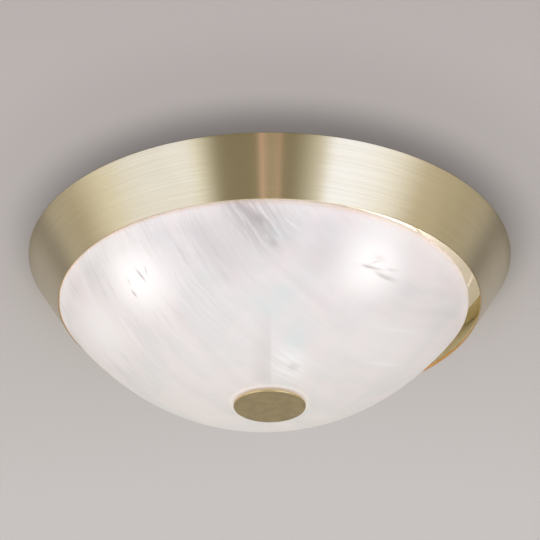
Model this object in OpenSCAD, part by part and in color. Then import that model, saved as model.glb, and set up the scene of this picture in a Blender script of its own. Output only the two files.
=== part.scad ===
// Flush ceiling light: a spun brass skirt, a glass bowl clamped on a centre rod, and three lamps.
// Millimetres. The ceiling is the plane z = 0, and the light hangs below it.

/* [Skirt] */
// Diameter of the skirt at the ceiling
skirt_top_d = 420; // [410:1:440]
// Diameter of the skirt at its lower rim
skirt_rim_d = 364; // [354:1:376]
// Height of the skirt
skirt_h = 44; // [40:1:60]
// Thickness of the spun brass sheet
sheet_t = 0.6; // [0.5:0.05:0.8]
// Height of the hem folded up inside the rim
hem_h = 5; // [3:0.5:8]
// Width between the wall and the bead's inner side, where the flange turns in
bead_gap = 1.9; // [1.5:0.1:4]
// Width of the flange that carries the back plate
flange_w = 13; // [10:0.5:16]

/* [Back plate] */
// Thickness of the steel back plate
plate_t = 1.2; // [1:0.1:2]
// Height of the pressed land that meets the ceiling
land_h = 1.5; // [1.3:0.1:2.5]
// Distance from the edge of the skirt to the circle of the ceiling screws
fixing_inset = 50; // [46:1:60]
// Width of the land
land_w = 36; // [24:1:42]
// Diameter of the ceiling screw holes
fixing_d = 5.5; // [4.5:0.1:6.5]
// Shank diameter of a rivet
rivet_d = 3.2; // [2.4:0.1:4]
// Head diameter of a rivet
rivet_head_d = 6.5; // [5:0.1:8]
// Number of rivets between skirt and plate
rivet_n = 6; // [3:1:12]

/* [Glass bowl] */
// Radial play between the bowl and the hem of the skirt
rim_play = 5.2; // [1:0.1:6]
// Depth of the bowl below the rim of the skirt
bowl_depth = 88; // [84:1:110]
// Wall thickness of the glass
glass_t = 4; // [3:0.25:5]
// Height of the upright collar hidden inside the skirt
collar_h = 6; // [3:0.5:12]
// Flat margin of the seat round the soft seals
seat_margin = 1.1; // [0.5:0.1:4]
// Roundness of the bowl near its seat, where 2 is a parabola
bowl_belly = 2.03; // [1.8:0.01:2.6]
// Roundness of the bowl near its edge, where 1 is a parabola
bowl_edge = 1.05; // [1:0.01:1.3]

/* [Centre rod and finial] */
// Outer diameter of the threaded rod
rod_d = 10; // [9:0.5:11]
// Bore of the threaded rod
rod_bore_d = 6.5; // [5:0.25:7]
// Width across flats of the rod nuts
nut_af = 14; // [13.5:0.5:17]
// Thickness of a rod nut
nut_t = 4; // [3:0.5:6]
// Thickness of the toothed washer
lock_t = 1; // [0.6:0.1:1.6]
// Thickness of a soft seal
seal_t = 2; // [1.5:0.1:3]
// Lap of the soft seals over the edge of the centre hole
seal_lap = 2.6; // [2:0.1:5]
// Sheet thickness of the cup washer above the bowl
cup_t = 1.2; // [1:0.1:2]
// Depth of the turned-down lip of the cup washer
cup_lip = 0.8; // [0.5:0.1:1.2]
// Diameter of the finial disc
disc_d = 61; // [52:1:80]
// Thickness of the finial disc
disc_t = 2; // [1.5:0.1:4]
// Outer diameter of the threaded hub on the disc
hub_d = 14; // [13:0.5:15]

/* [Lamp bracket] */
// Thickness of the bracket sheet
bracket_t = 1.5; // [1:0.1:2]
// Inner radius of its bends
bend_r = 1.5; // [1:0.1:2]
// Drop of the web below the back plate
web_drop = 11.8; // [11:0.1:13]
// Diameter of the web
web_d = 52; // [44:1:54]
// Width of a lampholder ear
ear_w = 34; // [31:1:38]
// Width of a leg
leg_w = 14; // [11:1:18]
// Distance from the centre to the bend of a leg
leg_r = 31; // [29:0.5:33]
// Length of a foot
foot_l = 15; // [12:0.5:20]
// Diameter of the bracket screws
screw_d = 4; // [3:0.5:4]

/* [Lamps] */
// Direction of the first lamp, seen from above
lamp_turn = 80; // [70:1:90]
// Distance of the lamp axis below the ceiling
lamp_drop = 42; // [40:1:46]
// Distance from the centre to the base of a lampholder
holder_r = 31.5; // [30.5:0.5:34]
// Length of a lampholder
holder_l = 40; // [38:0.5:41]
// Diameter of the base of a lampholder
holder_base_d = 40; // [38:1:42]
// Diameter of the waist of a lampholder
holder_waist_d = 36; // [34:1:37]
// Diameter of the mouth of a lampholder
holder_mouth_d = 40; // [38:1:43]
// Thickness of the floor of a lampholder
holder_floor = 8; // [7.5:0.5:9]
// Distance between the two fixing screws of a lampholder
holder_pitch = 22; // [20:1:24]
// Height of the centre contact above the floor
contact_h = 4.7; // [3.5:0.1:6]
// Diameter of the screw cap of a lamp
cap_d = 26; // [25:0.1:26.4]
// Length of the screw cap and its insulator
cap_l = 27; // [25:0.5:28]
// Sheet thickness of caps and screw shells
shell_t = 0.5; // [0.3:0.1:0.6]
// Largest diameter of a lamp
lamp_d = 55; // [50:1:58]
// Overall length of a lamp
lamp_l = 97; // [92:1:99]
// Wall thickness of the lamp glass
lamp_wall = 0.8; // [0.6:0.1:1.2]

/* [Wiring] */
// Distance from the centre to the middle of the terminal block
block_r = 72; // [71:1:78]
// Length of the terminal block
block_l = 36; // [34:1:40]
// Width of the terminal block
block_w = 18; // [16:1:20]
// Height of the terminal block
block_h = 14; // [12:0.5:16]
// Diameter of a terminal barrel
barrel_d = 6; // [5.5:0.25:7]
// Wire hole of a terminal barrel
barrel_bore_d = 3.6; // [3:0.1:4]
// Distance from the centre to the cable entry
entry_r = 104; // [98:1:112]
// Hole of the cable grommet
entry_d = 9; // [7:0.5:10]
// Diameter of a lead over its insulation
lead_d = 2.2; // [1.8:0.1:2.4]

/* [Clearances] */
// Gap between soft or curved faces that move past each other
gap = 0.3; // [0.2:0.05:0.5]
// Radial clearance of screws, nuts and rods in their holes
fit = 0.15; // [0.1:0.05:0.3]

/* [Hidden] */

$fn = 96;
eps = 0.01;
lamp_count = 3;

// Skirt: its outer line climbs from the rim to the ceiling, and the plies lie inside it
skirt_top_r = skirt_top_d / 2;
skirt_rim_r = skirt_rim_d / 2;
wall_l = norm([skirt_top_r - skirt_rim_r, skirt_h]);
wall_up = [skirt_top_r - skirt_rim_r, skirt_h] / wall_l;
wall_in = [-wall_up[1], wall_up[0]];
plate_under = -(land_h + plate_t);
bead_in = skirt_top_r - bead_gap - (sheet_t - plate_under) * wall_up[0] / wall_up[1];
flange_in = bead_in - flange_w;
rivet_r = bead_in - flange_w / 2;

// Back plate: the middle and the edge hang one land below the ceiling
plate_r = bead_in - gap;
fixing_r = skirt_top_r - fixing_inset;
land_in = fixing_r - land_w / 2;
land_out = fixing_r + land_w / 2;
clear_top = -gap;

// Bowl: pushed to one side until its collar all but touches the hem
hem_in = skirt_rim_r + sheet_t * (wall_up[0] + wall_in[0] - 1);
bowl_r = hem_in - rim_play;
bowl_shift = rim_play - gap;
bowl_bottom = -(skirt_h + bowl_depth);
bowl_floor = bowl_bottom + glass_t;
bowl_top = -skirt_h + collar_h;
bowl_hole_d = hub_d + 2 * (rim_play + gap);
seal_d = bowl_hole_d + 2 * (bowl_shift + seal_lap);
seal_hole_d = hub_d + 2 * gap;
seat_r = seal_d / 2 + bowl_shift + seat_margin;

// Stack on the rod, upwards and downwards from the glass
cup_under = bowl_floor + seal_t;
cup_d = seal_d + 2 * (gap + cup_t);
stop_nut_z = cup_under + cup_t;
disc_top = bowl_bottom - seal_t;
hub_top = cup_under - gap;
rod_end = disc_top + gap;
web_top = plate_under - web_drop;
web_under = web_top - bracket_t;
thread_d = rod_d + 2 * fit;
rod_top = web_top + nut_t + rod_d / 5;

// Bracket: the ears carry the lampholders and the feet lie under the back plate
ear_bend = holder_r - bracket_t - bend_r;
ear_drop = lamp_drop + web_top - bracket_t / 2;
foot_rise = web_drop - bracket_t / 2;
foot_start = leg_r + 2 * bend_r + bracket_t;
foot_screw_r = foot_start + foot_l / 2;
head_d = 2 * screw_d;

// Lampholder and lamp, along the lamp axis from the base of the holder
shell_in = cap_d / 2 + gap;
bore_r = shell_in + shell_t + fit;
tip_z = holder_floor + contact_h + gap;
contact_t = 0.6;
contact_w = 6;
tip_t = 1.7;
insulator_z = tip_t + gap;
insulator_l = 4.5;
shoulder_z = insulator_z + insulator_l;
globe_r = lamp_d / 2;
globe_z = lamp_l - globe_r;
neck_r = cap_d / 2 - shell_t - fit;
neck_z = cap_l - 10;
stem_top = 52;

// Wiring: the block lies opposite the first lamp
block_turn = 180;
pole_places = [-11, 0, 11];
pole_pitch = pole_places[1] - pole_places[0];
clamp_places = [-5, 5];
well_d = 4.4;
block_screw_d = 3;
block_head_d = 5.6;
block_head_z = plate_under - block_h + 3;
barrel_z = plate_under - barrel_d / 2 - 2;
grommet_d = entry_d + 5;
wire_hole_d = 3.6;
wire_hole_z = 5;
wire_hole_y = [-11, -5, 5, 11];
earth_x = 50;
earth_y = -26;

// Shapes used by several pieces

function arc(centre, r, from, to, n) =
    [for (i = [0:n]) centre + r * [cos(from + (to - from) * i / n), sin(from + (to - from) * i / n)]];

function reversed(list) = [for (i = [len(list) - 1:-1:0]) list[i]];

// Quarter of a sheet bend about the Y axis, between +X and +Z, centred on its width
module bend(w)
    rotate([90, 0, 0])
        translate([0, 0, -w / 2])
            linear_extrude(w)
                intersection() {
                    difference() {
                        circle(bend_r + bracket_t);
                        circle(bend_r);
                    }
                    square(bend_r + bracket_t);
                }

// A strip of bracket sheet, centred on its width
module strip(x, z, size, w)
    translate([x, -w / 2, z])
        cube([size[0], w, size[1]]);

// Copies of something turned round the centre
module ring(n, turn)
    for (i = [0:n - 1])
        rotate([0, 0, lamp_turn + turn + 360 * i / n])
            children();

// The frame of lamp i: z runs outwards along its axis from the base of its holder, and -x is up
module lamp_frame(i)
    rotate([0, 0, lamp_turn + 120 * (i - 1)])
        translate([holder_r, 0, -lamp_drop])
            rotate([0, 90, 0])
                children();

// The two fixing screws of a lampholder, in its lamp frame
module holder_fixings()
    for (side = [-1, 1])
        translate([0, side * holder_pitch / 2, 0])
            children();

module tube(outer, inner, h)
    difference() {
        cylinder(d = outer, h = h);
        translate([0, 0, -eps])
            cylinder(d = inner, h = h + 2 * eps);
    }

module hex_nut(h)
    difference() {
        cylinder(d = nut_af / cos(30), h = h, $fn = 6);
        translate([0, 0, -eps])
            cylinder(d = thread_d, h = h + 2 * eps);
    }

// Pan-head screw with its head below z = 0 and its shank above
module pan_screw(d, l, head) {
    round_r = head * 0.15;
    cylinder(d = d, h = l);
    rotate_extrude()
        polygon(concat([[0, 0], [0, -head * 0.3]],
            arc([head / 2 - round_r, -head * 0.3 + round_r], round_r, -90, 0, 6),
            [[head / 2, 0]]));
}

// Leads: a round tube swept along a smooth line through points chosen by hand

function unit(v) = v / norm(v);

function between(a, b, c, d, t) =
    0.5 * (2 * b + (c - a) * t + (2 * a - 5 * b + 4 * c - d) * t * t
        + (3 * b - a - 3 * c + d) * t * t * t);

function smooth_line(p, steps) = let (last = len(p) - 1) concat(
    [for (i = [0:last - 1]) for (s = [0:steps - 1])
        between(p[max(i - 1, 0)], p[i], p[i + 1], p[min(i + 2, last)], s / steps)],
    [p[last]]);

function heading(line, i) = unit(line[min(i + 1, len(line) - 1)] - line[max(i - 1, 0)]);

// Directions square to the line, each carried on from the one before it
function sideways(line, i, found) = i == len(line)
    ? found
    : let (t = heading(line, i), u = found[i - 1])
        sideways(line, i + 1, concat(found, [unit(u - (u * t) * t)]));

module swept_lead(points, sides = 8, steps = 3) {
    line = smooth_line(points, steps);
    first = unit(cross(heading(line, 0), [0.3, 0.9, 0.1]));
    u = sideways(line, 1, [first]);
    rings = [for (i = [0:len(line) - 1]) let (v = cross(heading(line, i), u[i]))
        for (k = [0:sides - 1])
            line[i] + lead_d / 2 * (cos(360 * k / sides) * u[i] + sin(360 * k / sides) * v)];
    last = (len(line) - 1) * sides;
    walls = [for (i = [0:len(line) - 2]) for (k = [0:sides - 1])
        let (a = i * sides + k, b = i * sides + (k + 1) % sides)
            each [[a, b + sides, b], [a, a + sides, b + sides]]];
    polyhedron(rings, concat(walls, [[for (k = [0:sides - 1]) k],
        [for (k = [sides - 1:-1:0]) last + k]]));
}

// A point in the frame of what lies at that turn: outwards, sideways and up
function spot(turn, x, y, z) = let (a = lamp_turn + turn)
    [x * cos(a) - y * sin(a), x * sin(a) + y * cos(a), z];

// The live lead runs outside the neutral one from each lampholder to the next
function live_link(turn) = [
    spot(turn, 36.5, 5, -28), spot(turn, 36.5, 5, -17), spot(turn, 41, 9, -12),
    spot(turn, 46, 20, -11), spot(turn + 60, 47, 0, -11), spot(turn + 120, 46, -20, -11),
    spot(turn + 120, 41, -15, -12), spot(turn + 120, 36.5, -11, -17),
    spot(turn + 120, 36.5, -11, -28)];

function neutral_link(turn) = [
    spot(turn, 36.5, 11, -28), spot(turn, 36.5, 11, -17), spot(turn, 36, 16, -12),
    spot(turn, 32, 22, -11), spot(turn + 60, 39, 0, -11), spot(turn + 120, 33, -20, -11),
    spot(turn + 120, 31.5, -11, -11), spot(turn + 120, 34, -6, -12),
    spot(turn + 120, 36.5, -5, -17), spot(turn + 120, 36.5, -5, -28)];

live_feed = [
    spot(180, 67, 11, -7.7), spot(180, 58, 11, -8), spot(180, 52, 15, -9),
    spot(240, 46, -22, -11), spot(240, 41, -15, -12), spot(240, 36.5, -11, -17),
    spot(240, 36.5, -11, -28)];
neutral_feed = [
    spot(180, 67, 0, -7.7), spot(180, 58, 0, -9), spot(180, 50, 2, -11),
    spot(180, 42, 9, -11), spot(240, 33, -20, -11), spot(240, 31.5, -11, -11),
    spot(240, 34, -6, -12), spot(240, 36.5, -5, -17), spot(240, 36.5, -5, -28)];
earth_feed = [
    spot(180, 67, -11, -7.7), spot(180, 58, -11, -8), spot(180, 52, -14, -8),
    spot(180, 49, -17, -6), spot(180, 50, -21.6, -5)];

// Skirt

module skirt_section() {
    rim = [skirt_rim_r, -skirt_h];
    fold = rim + sheet_t * (wall_up + wall_in);
    inside = rim + sheet_t * wall_in;
    under_bead = inside + (skirt_h - sheet_t - sheet_t * wall_in[1]) / wall_up[1] * wall_up;
    fold_turn = atan2(wall_in[1], wall_in[0]);
    polygon(concat(
        [[skirt_top_r, 0], [bead_in, 0], [bead_in, plate_under], [flange_in, plate_under],
            [flange_in, plate_under - sheet_t], [bead_in + sheet_t, plate_under - sheet_t],
            [bead_in + sheet_t, -sheet_t], under_bead, inside + hem_h * wall_up,
            inside + hem_h * wall_up + sheet_t * wall_in],
        arc(fold, sheet_t, fold_turn, fold_turn + 180, 8)));
}

module brass_skirt()
    color("darkgoldenrod")
        difference() {
            rotate_extrude($fn = 180)
                skirt_section();
            ring(rivet_n, 30)
                translate([rivet_r, 0, plate_under - 2 * sheet_t])
                    cylinder(d = rivet_d + 2 * fit, h = 3 * sheet_t);
        }

// Back plate

module plate_section() {
    top = [[0, -land_h], [land_in - land_h, -land_h], [land_in, 0], [land_out, 0],
        [land_out + land_h, -land_h], [plate_r, -land_h]];
    polygon(concat(top, reversed([for (p = top) p - [0, plate_t]])));
}

// A tapped hole with a collar pressed up out of the plate
module plate_collar(d)
    translate([0, 0, -land_h - eps])
        cylinder(d = d + 3, h = clear_top + land_h);

module plate_hole(d)
    translate([0, 0, plate_under - 1])
        cylinder(d = d, h = plate_t + land_h + 2);

module back_plate()
    color("white")
        difference() {
            union() {
                rotate_extrude($fn = 180)
                    plate_section();
                ring(lamp_count, 60)
                    translate([foot_screw_r, 0, 0])
                        plate_collar(screw_d);
                translate(spot(block_turn, earth_x, earth_y, 0))
                    plate_collar(screw_d);
            }
            ring(lamp_count, 60)
                translate([foot_screw_r, 0, 0])
                    plate_hole(screw_d + 2 * fit);
            ring(lamp_count, 60)
                translate([fixing_r, 0, 0])
                    plate_hole(fixing_d);
            ring(rivet_n, 30)
                translate([rivet_r, 0, 0])
                    plate_hole(rivet_d + 2 * fit);
            translate(spot(block_turn, earth_x, earth_y, 0))
                plate_hole(screw_d + 2 * fit);
            translate(spot(block_turn, block_r, pole_pitch / 2, 0))
                plate_hole(block_screw_d + 2 * fit);
            translate(spot(block_turn, entry_r, 0, 0))
                plate_hole(grommet_d + 2 * fit);
        }

module skirt_rivets()
    color("silver")
        ring(rivet_n, 30)
            translate([rivet_r, 0, 0])
                rotate_extrude()
                    polygon([[0, clear_top], [rivet_d * 0.6, clear_top], [rivet_head_d * 0.4, -land_h],
                        [rivet_d / 2, -land_h], [rivet_d / 2, plate_under - sheet_t],
                        [rivet_head_d / 2, plate_under - sheet_t],
                        [rivet_head_d * 0.4, plate_under - sheet_t - 0.8],
                        [0, plate_under - sheet_t - 1.1]]);

module cable_grommet()
    color("dimgray")
        translate(spot(block_turn, entry_r, 0, 0))
            rotate_extrude()
                polygon([[entry_d / 2, clear_top], [grommet_d / 2 + 2, clear_top - 0.3],
                    [grommet_d / 2 + 2, -land_h], [grommet_d / 2, -land_h],
                    [grommet_d / 2, plate_under], [grommet_d / 2 + 2.5, plate_under],
                    [grommet_d / 2 + 2, plate_under - 1.4], [entry_d / 2 + 1, plate_under - 2.4],
                    [entry_d / 2, plate_under - 2]]);

// Lamp bracket

// The bracket is drawn with z = 0 half way through its flat web, a disc with three wide arms that
// bend down into the ears and three narrow ones that bend up into the legs
module web()
    translate([0, 0, -bracket_t / 2])
        linear_extrude(bracket_t) {
            circle(d = web_d);
            ring(lamp_count, 0)
                translate([0, -ear_w / 2])
                    square([ear_bend, ear_w]);
            ring(lamp_count, 60)
                translate([0, -leg_w / 2])
                    square([leg_r, leg_w]);
        }

module ear() {
    translate([ear_bend, 0, -bracket_t / 2 - bend_r])
        bend(ear_w);
    strip(holder_r - bracket_t, -ear_drop, [bracket_t, ear_drop - bracket_t / 2 - bend_r], ear_w);
    translate([holder_r - bracket_t, 0, -ear_drop])
        rotate([0, 90, 0])
            cylinder(d = ear_w, h = bracket_t);
}

module leg() {
    translate([leg_r, 0, bracket_t / 2 + bend_r])
        mirror([0, 0, 1])
            bend(leg_w);
    strip(leg_r + bend_r, bracket_t / 2 + bend_r,
        [bracket_t, web_drop - bracket_t - 2 * bend_r], leg_w);
    translate([foot_start, 0, foot_rise - bend_r])
        mirror([1, 0, 0])
            bend(leg_w);
    strip(foot_start, foot_rise, [foot_l, bracket_t], leg_w);
}

module lamp_bracket()
    color("lightsteelblue")
        difference() {
            translate([0, 0, web_top - bracket_t / 2]) {
                web();
                ring(lamp_count, 0)
                    ear();
                ring(lamp_count, 60)
                    leg();
            }
            translate([0, 0, web_under - 1])
                cylinder(d = thread_d, h = bracket_t + 2);
            ring(lamp_count, 60)
                translate([foot_screw_r, 0, plate_under - bracket_t - 1])
                    cylinder(d = screw_d + 2 * fit, h = bracket_t + 2);
            for (i = [1:lamp_count])
                lamp_frame(i)
                    translate([0, 0, -bracket_t - 1]) {
                        cylinder(d = 10, h = bracket_t + 2);
                        holder_fixings()
                            cylinder(d = screw_d + 2 * fit, h = bracket_t + 2);
                    }
        }

module bracket_screws()
    color("silver")
        ring(lamp_count, 60)
            translate([foot_screw_r, 0, plate_under - bracket_t])
                pan_screw(screw_d, clear_top - plate_under + bracket_t, head_d);

// Centre rod and what is screwed on it

module centre_rod()
    color("gainsboro")
        translate([0, 0, rod_end])
            tube(rod_d, rod_bore_d, rod_top - rod_end);

module rod_nuts()
    color("silver") {
        translate([0, 0, web_top])
            hex_nut(nut_t);
        translate([0, 0, web_under - lock_t - nut_t])
            hex_nut(nut_t);
    }

module toothed_washer()
    color("slategray")
        translate([0, 0, web_under - lock_t])
            difference() {
                tube(nut_af + 4, thread_d, lock_t);
                ring(12, 0)
                    translate([nut_af / 2 + 0.5, -0.8, -eps])
                        cube([nut_af, 1.6, lock_t + 2 * eps]);
            }

module bowl_stop_nut()
    color("silver")
        translate([0, 0, stop_nut_z])
            hex_nut(nut_t);

module cup_washer()
    color("lightgray")
        rotate_extrude()
            polygon([[thread_d / 2, cup_under], [cup_d / 2 - cup_t, cup_under],
                [cup_d / 2 - cup_t, cup_under - cup_lip], [cup_d / 2, cup_under - cup_lip],
                [cup_d / 2, cup_under + cup_t * 0.4], [cup_d / 2 - cup_t * 0.6, cup_under + cup_t],
                [thread_d / 2, cup_under + cup_t]]);

module upper_seal()
    color("whitesmoke")
        translate([0, 0, bowl_floor])
            tube(seal_d, seal_hole_d, seal_t);

module lower_seal()
    color("whitesmoke")
        translate([0, 0, bowl_bottom - seal_t])
            tube(seal_d, seal_hole_d, seal_t);

// The bowl: one turned curve for its outside and one for its inside, each a power of sine
// outwards and a power of cosine downwards
function bowl_curve(r, depth, n) = [for (i = [0:n])
    [seat_r + (r - seat_r) * pow(sin(90 * i / n), 2 / bowl_belly),
        -skirt_h - depth * pow(cos(90 * i / n), 2 / bowl_edge)]];

module glass_bowl()
    color("linen")
        translate([-bowl_shift, 0, 0])
            rotate_extrude($fn = 180)
                polygon(concat(
                    [[bowl_hole_d / 2, bowl_bottom]],
                    bowl_curve(bowl_r, bowl_depth, 28),
                    arc([bowl_r - glass_t / 2, bowl_top - glass_t / 2], glass_t / 2, 0, 180, 10),
                    reversed(bowl_curve(bowl_r - glass_t, bowl_depth - glass_t, 28)),
                    [[bowl_hole_d / 2, bowl_floor]]));

// Finial: a turned disc with a threaded hub soldered on its back

module finial_disc()
    color("goldenrod")
        rotate_extrude()
            polygon(concat([[0, disc_top - disc_t]],
                arc([disc_d / 2 - disc_t * 0.45, disc_top - disc_t * 0.55], disc_t * 0.45, -90, 0, 6),
                [[disc_d / 2, disc_top - 0.2], [disc_d / 2 - 0.2, disc_top], [0, disc_top]]));

module finial_hub()
    color("goldenrod")
        translate([0, 0, disc_top])
            tube(hub_d, thread_d, hub_top - disc_top);

// Lampholder

module holder_section() {
    base_r = holder_base_d / 2;
    waist_r = holder_waist_d / 2;
    mouth_r = holder_mouth_d / 2;
    polygon(concat(
        [[0, 0], [base_r - 1, 0]],
        arc([base_r - 1, 1], 1, -90, 0, 4),
        [[base_r, 11]],
        arc([base_r - 1.5, 11], 1.5, 0, 60, 4),
        [[waist_r, 14.5], [waist_r, holder_l - 12], [mouth_r, holder_l - 9]],
        arc([mouth_r - 1.5, holder_l - 1.5], 1.5, 0, 90, 5),
        [[bore_r + 0.6, holder_l], [bore_r, holder_l - 0.6], [bore_r, holder_floor],
            [0, holder_floor]]));
}

module holder_body(i)
    color("ivory")
        lamp_frame(i)
            difference() {
                rotate_extrude()
                    holder_section();
                holder_fixings()
                    translate([0, 0, -1])
                        cylinder(d = screw_d + 2 * fit, h = holder_floor - 1);
                for (y = wire_hole_y)
                    translate([-holder_base_d / 2 - 1, y, wire_hole_z])
                        rotate([0, 90, 0])
                            cylinder(d = wire_hole_d, h = 10);
                translate([0, 0, 1])
                    cylinder(d = 3 + 2 * fit, h = holder_floor);
            }

module screw_shell(i)
    color("khaki")
        lamp_frame(i)
            rotate_extrude()
                polygon([[shell_in - 3, holder_floor], [shell_in + shell_t, holder_floor],
                    [shell_in + shell_t, holder_l - 2], [shell_in, holder_l - 2],
                    [shell_in, holder_floor + shell_t], [shell_in - 3, holder_floor + shell_t]]);

// A strip folded back over itself: foot, half bend and tongue, with a rivet into the floor
module centre_contact(i)
    color("khaki")
        lamp_frame(i)
            translate([0, 0, holder_floor]) {
                translate([-contact_w / 2, -6, 0])
                    cube([contact_w, 10, contact_t]);
                translate([-contact_w / 2, 4, contact_h / 2])
                    rotate([0, 90, 0])
                        rotate_extrude(angle = 180)
                            translate([contact_h / 2 - contact_t, 0])
                                square([contact_t, contact_w]);
                translate([-contact_w / 2, -5, contact_h - contact_t])
                    cube([contact_w, 9, contact_t]);
                translate([0, 0, 1 - holder_floor])
                    cylinder(d = 3, h = holder_floor - 1 + contact_t);
            }

module holder_screws()
    color("silver")
        for (i = [1:lamp_count])
            lamp_frame(i)
                holder_fixings()
                    translate([0, 0, -bracket_t])
                        pan_screw(screw_d, bracket_t + holder_floor - 3, head_d);

// Lamp: its z runs from the tip of its contact to the top of the globe

module lamp_parts(i)
    lamp_frame(i)
        translate([0, 0, tip_z])
            children();

// The bulb swells from the neck to the globe as half a cosine wave
function bulb_line(wall) = concat(
    [[neck_r - wall, neck_z]],
    [for (k = [0:14]) let (s = k / 14)
        [neck_r - wall + (globe_r - neck_r) * (1 - cos(180 * s)) / 2, cap_l + s * (globe_z - cap_l)]],
    arc([0, globe_z], globe_r - wall, 5, 90, 14));

module lamp_glass(i)
    color("white", 0.6)
        lamp_parts(i)
            rotate_extrude()
                polygon(concat(bulb_line(0), reversed(bulb_line(lamp_wall))));

module lamp_cap(i)
    color("silver")
        lamp_parts(i)
            rotate_extrude()
                polygon([[cap_d / 2 - 2, shoulder_z], [cap_d / 2, shoulder_z + 1.5],
                    [cap_d / 2, cap_l], [cap_d / 2 - shell_t, cap_l],
                    [cap_d / 2 - shell_t, shoulder_z + 1.7], [cap_d / 2 - 2, shoulder_z + shell_t]]);

module lamp_insulator(i)
    color("#222222")
        lamp_parts(i)
            rotate_extrude()
                polygon([[0, insulator_z], [5, insulator_z], [6, insulator_z + 0.6],
                    [cap_d / 2 - 2, shoulder_z], [cap_d / 2 - 2.4, shoulder_z + 1],
                    [4.6, shoulder_z + 1], [4.6, shoulder_z - 1.5], [0, shoulder_z - 1.5]]);

module lamp_tip(i)
    color("lightgray")
        lamp_parts(i)
            rotate_extrude()
                polygon(concat([[0, tip_t], [0, 0]], arc([3.2, 1.3], 1.3, -90, 0, 5),
                    [[4.5, tip_t]]));

module lamp_stem(i)
    color("azure")
        lamp_parts(i)
            rotate_extrude()
                polygon([[0, shoulder_z], [1.6, shoulder_z], [1.6, neck_z - 2], [4, neck_z],
                    [neck_r - lamp_wall - gap, neck_z], [neck_r - lamp_wall - gap, neck_z + 1],
                    [5, neck_z + 4], [4, neck_z + 18], [2.4, neck_z + 22], [1.5, stem_top],
                    [0, stem_top]]);

// Two support wires spread from the stem, with the coiled wire strung between their tips
module filament(i)
    color("gray")
        lamp_parts(i)
            translate([0, 0, stem_top + gap]) {
                for (side = [-1, 1])
                    rotate([0, side * 40, 0])
                        cylinder(d = 0.8, h = 15, $fn = 24);
                translate([-10, 0, 11.5])
                    rotate([0, 90, 0])
                        cylinder(d = 1.6, h = 20, $fn = 24);
            }

// Wiring

module at_block()
    translate(spot(block_turn, block_r, 0, 0))
        rotate([0, 0, lamp_turn + block_turn])
            children();

module along_barrel(d, l)
    translate([-l / 2, 0, barrel_z])
        rotate([0, 90, 0])
            cylinder(d = d, h = l);

module terminal_block()
    color("ivory")
        at_block()
            difference() {
                translate([-block_w / 2, -block_l / 2, plate_under - block_h])
                    cube([block_w, block_l, block_h]);
                for (y = pole_places)
                    translate([0, y, 0]) {
                        along_barrel(barrel_d + 2 * fit, block_w + 2);
                        for (x = clamp_places)
                            translate([x, 0, plate_under - block_h - 1])
                                cylinder(d = well_d, h = block_h - 3);
                    }
                for (side = [-1, 1])
                    translate([-block_w / 2 - 1, side * pole_pitch / 2 - 1, plate_under - block_h - 1])
                        cube([block_w + 2, 2, 4]);
                translate([0, pole_pitch / 2, plate_under - block_h - 1]) {
                    cylinder(d = block_screw_d + 2 * fit, h = block_h + 2);
                    cylinder(d = block_head_d + 2 * gap, h = 4);
                }
            }

module terminal_barrels()
    color("gold")
        at_block()
            for (y = pole_places)
                translate([0, y, 0])
                    difference() {
                        along_barrel(barrel_d, block_w - 1);
                        along_barrel(barrel_bore_d, block_w + 2);
                        for (x = clamp_places)
                            translate([x, 0, barrel_z - barrel_d])
                                cylinder(d = block_screw_d + 2 * fit, h = barrel_d);
                    }

module terminal_screws()
    color("silver")
        at_block()
            for (y = pole_places)
                for (x = clamp_places)
                    translate([x, y, barrel_z - barrel_d / 2 - 1.5]) {
                        cylinder(d = block_screw_d, h = 1.5 + (barrel_d - barrel_bore_d) / 2);
                        translate([0, 0, -1.6])
                            cylinder(d = well_d - 2 * gap, h = 1.6);
                    }

module block_screw()
    color("silver")
        at_block()
            translate([0, pole_pitch / 2, block_head_z])
                pan_screw(block_screw_d, plate_under + plate_t - block_head_z, block_head_d);

module earth_screw()
    color("gold")
        translate(spot(block_turn, earth_x, earth_y, plate_under - 1)) {
            cylinder(d = head_d + 2, h = 1);
            pan_screw(screw_d, 1 + clear_top - plate_under, head_d);
        }

module live_leads()
    color("saddlebrown") {
        swept_lead(live_feed);
        swept_lead(live_link(240));
        swept_lead(live_link(0));
    }

module neutral_leads()
    color("royalblue") {
        swept_lead(neutral_feed);
        swept_lead(neutral_link(240));
        swept_lead(neutral_link(0));
    }

module earth_lead()
    color("yellowgreen")
        swept_lead(earth_feed);

brass_skirt();
back_plate();
skirt_rivets();
cable_grommet();
lamp_bracket();
bracket_screws();
centre_rod();
rod_nuts();
toothed_washer();
bowl_stop_nut();
cup_washer();
upper_seal();
glass_bowl();
lower_seal();
finial_disc();
finial_hub();
holder_body(1);  // holder_body_1
holder_body(2);  // holder_body_2
holder_body(3);  // holder_body_3
screw_shell(1);  // screw_shell_1
screw_shell(2);  // screw_shell_2
screw_shell(3);  // screw_shell_3
centre_contact(1);  // centre_contact_1
centre_contact(2);  // centre_contact_2
centre_contact(3);  // centre_contact_3
holder_screws();
lamp_glass(1);  // lamp_glass_1
lamp_glass(2);  // lamp_glass_2
lamp_glass(3);  // lamp_glass_3
lamp_cap(1);  // lamp_cap_1
lamp_cap(2);  // lamp_cap_2
lamp_cap(3);  // lamp_cap_3
lamp_insulator(1);  // lamp_insulator_1
lamp_insulator(2);  // lamp_insulator_2
lamp_insulator(3);  // lamp_insulator_3
lamp_tip(1);  // lamp_tip_1
lamp_tip(2);  // lamp_tip_2
lamp_tip(3);  // lamp_tip_3
lamp_stem(1);  // lamp_stem_1
lamp_stem(2);  // lamp_stem_2
lamp_stem(3);  // lamp_stem_3
filament(1);  // filament_1
filament(2);  // filament_2
filament(3);  // filament_3
terminal_block();
terminal_barrels();
terminal_screws();
block_screw();
earth_screw();
live_leads();
neutral_leads();
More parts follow.
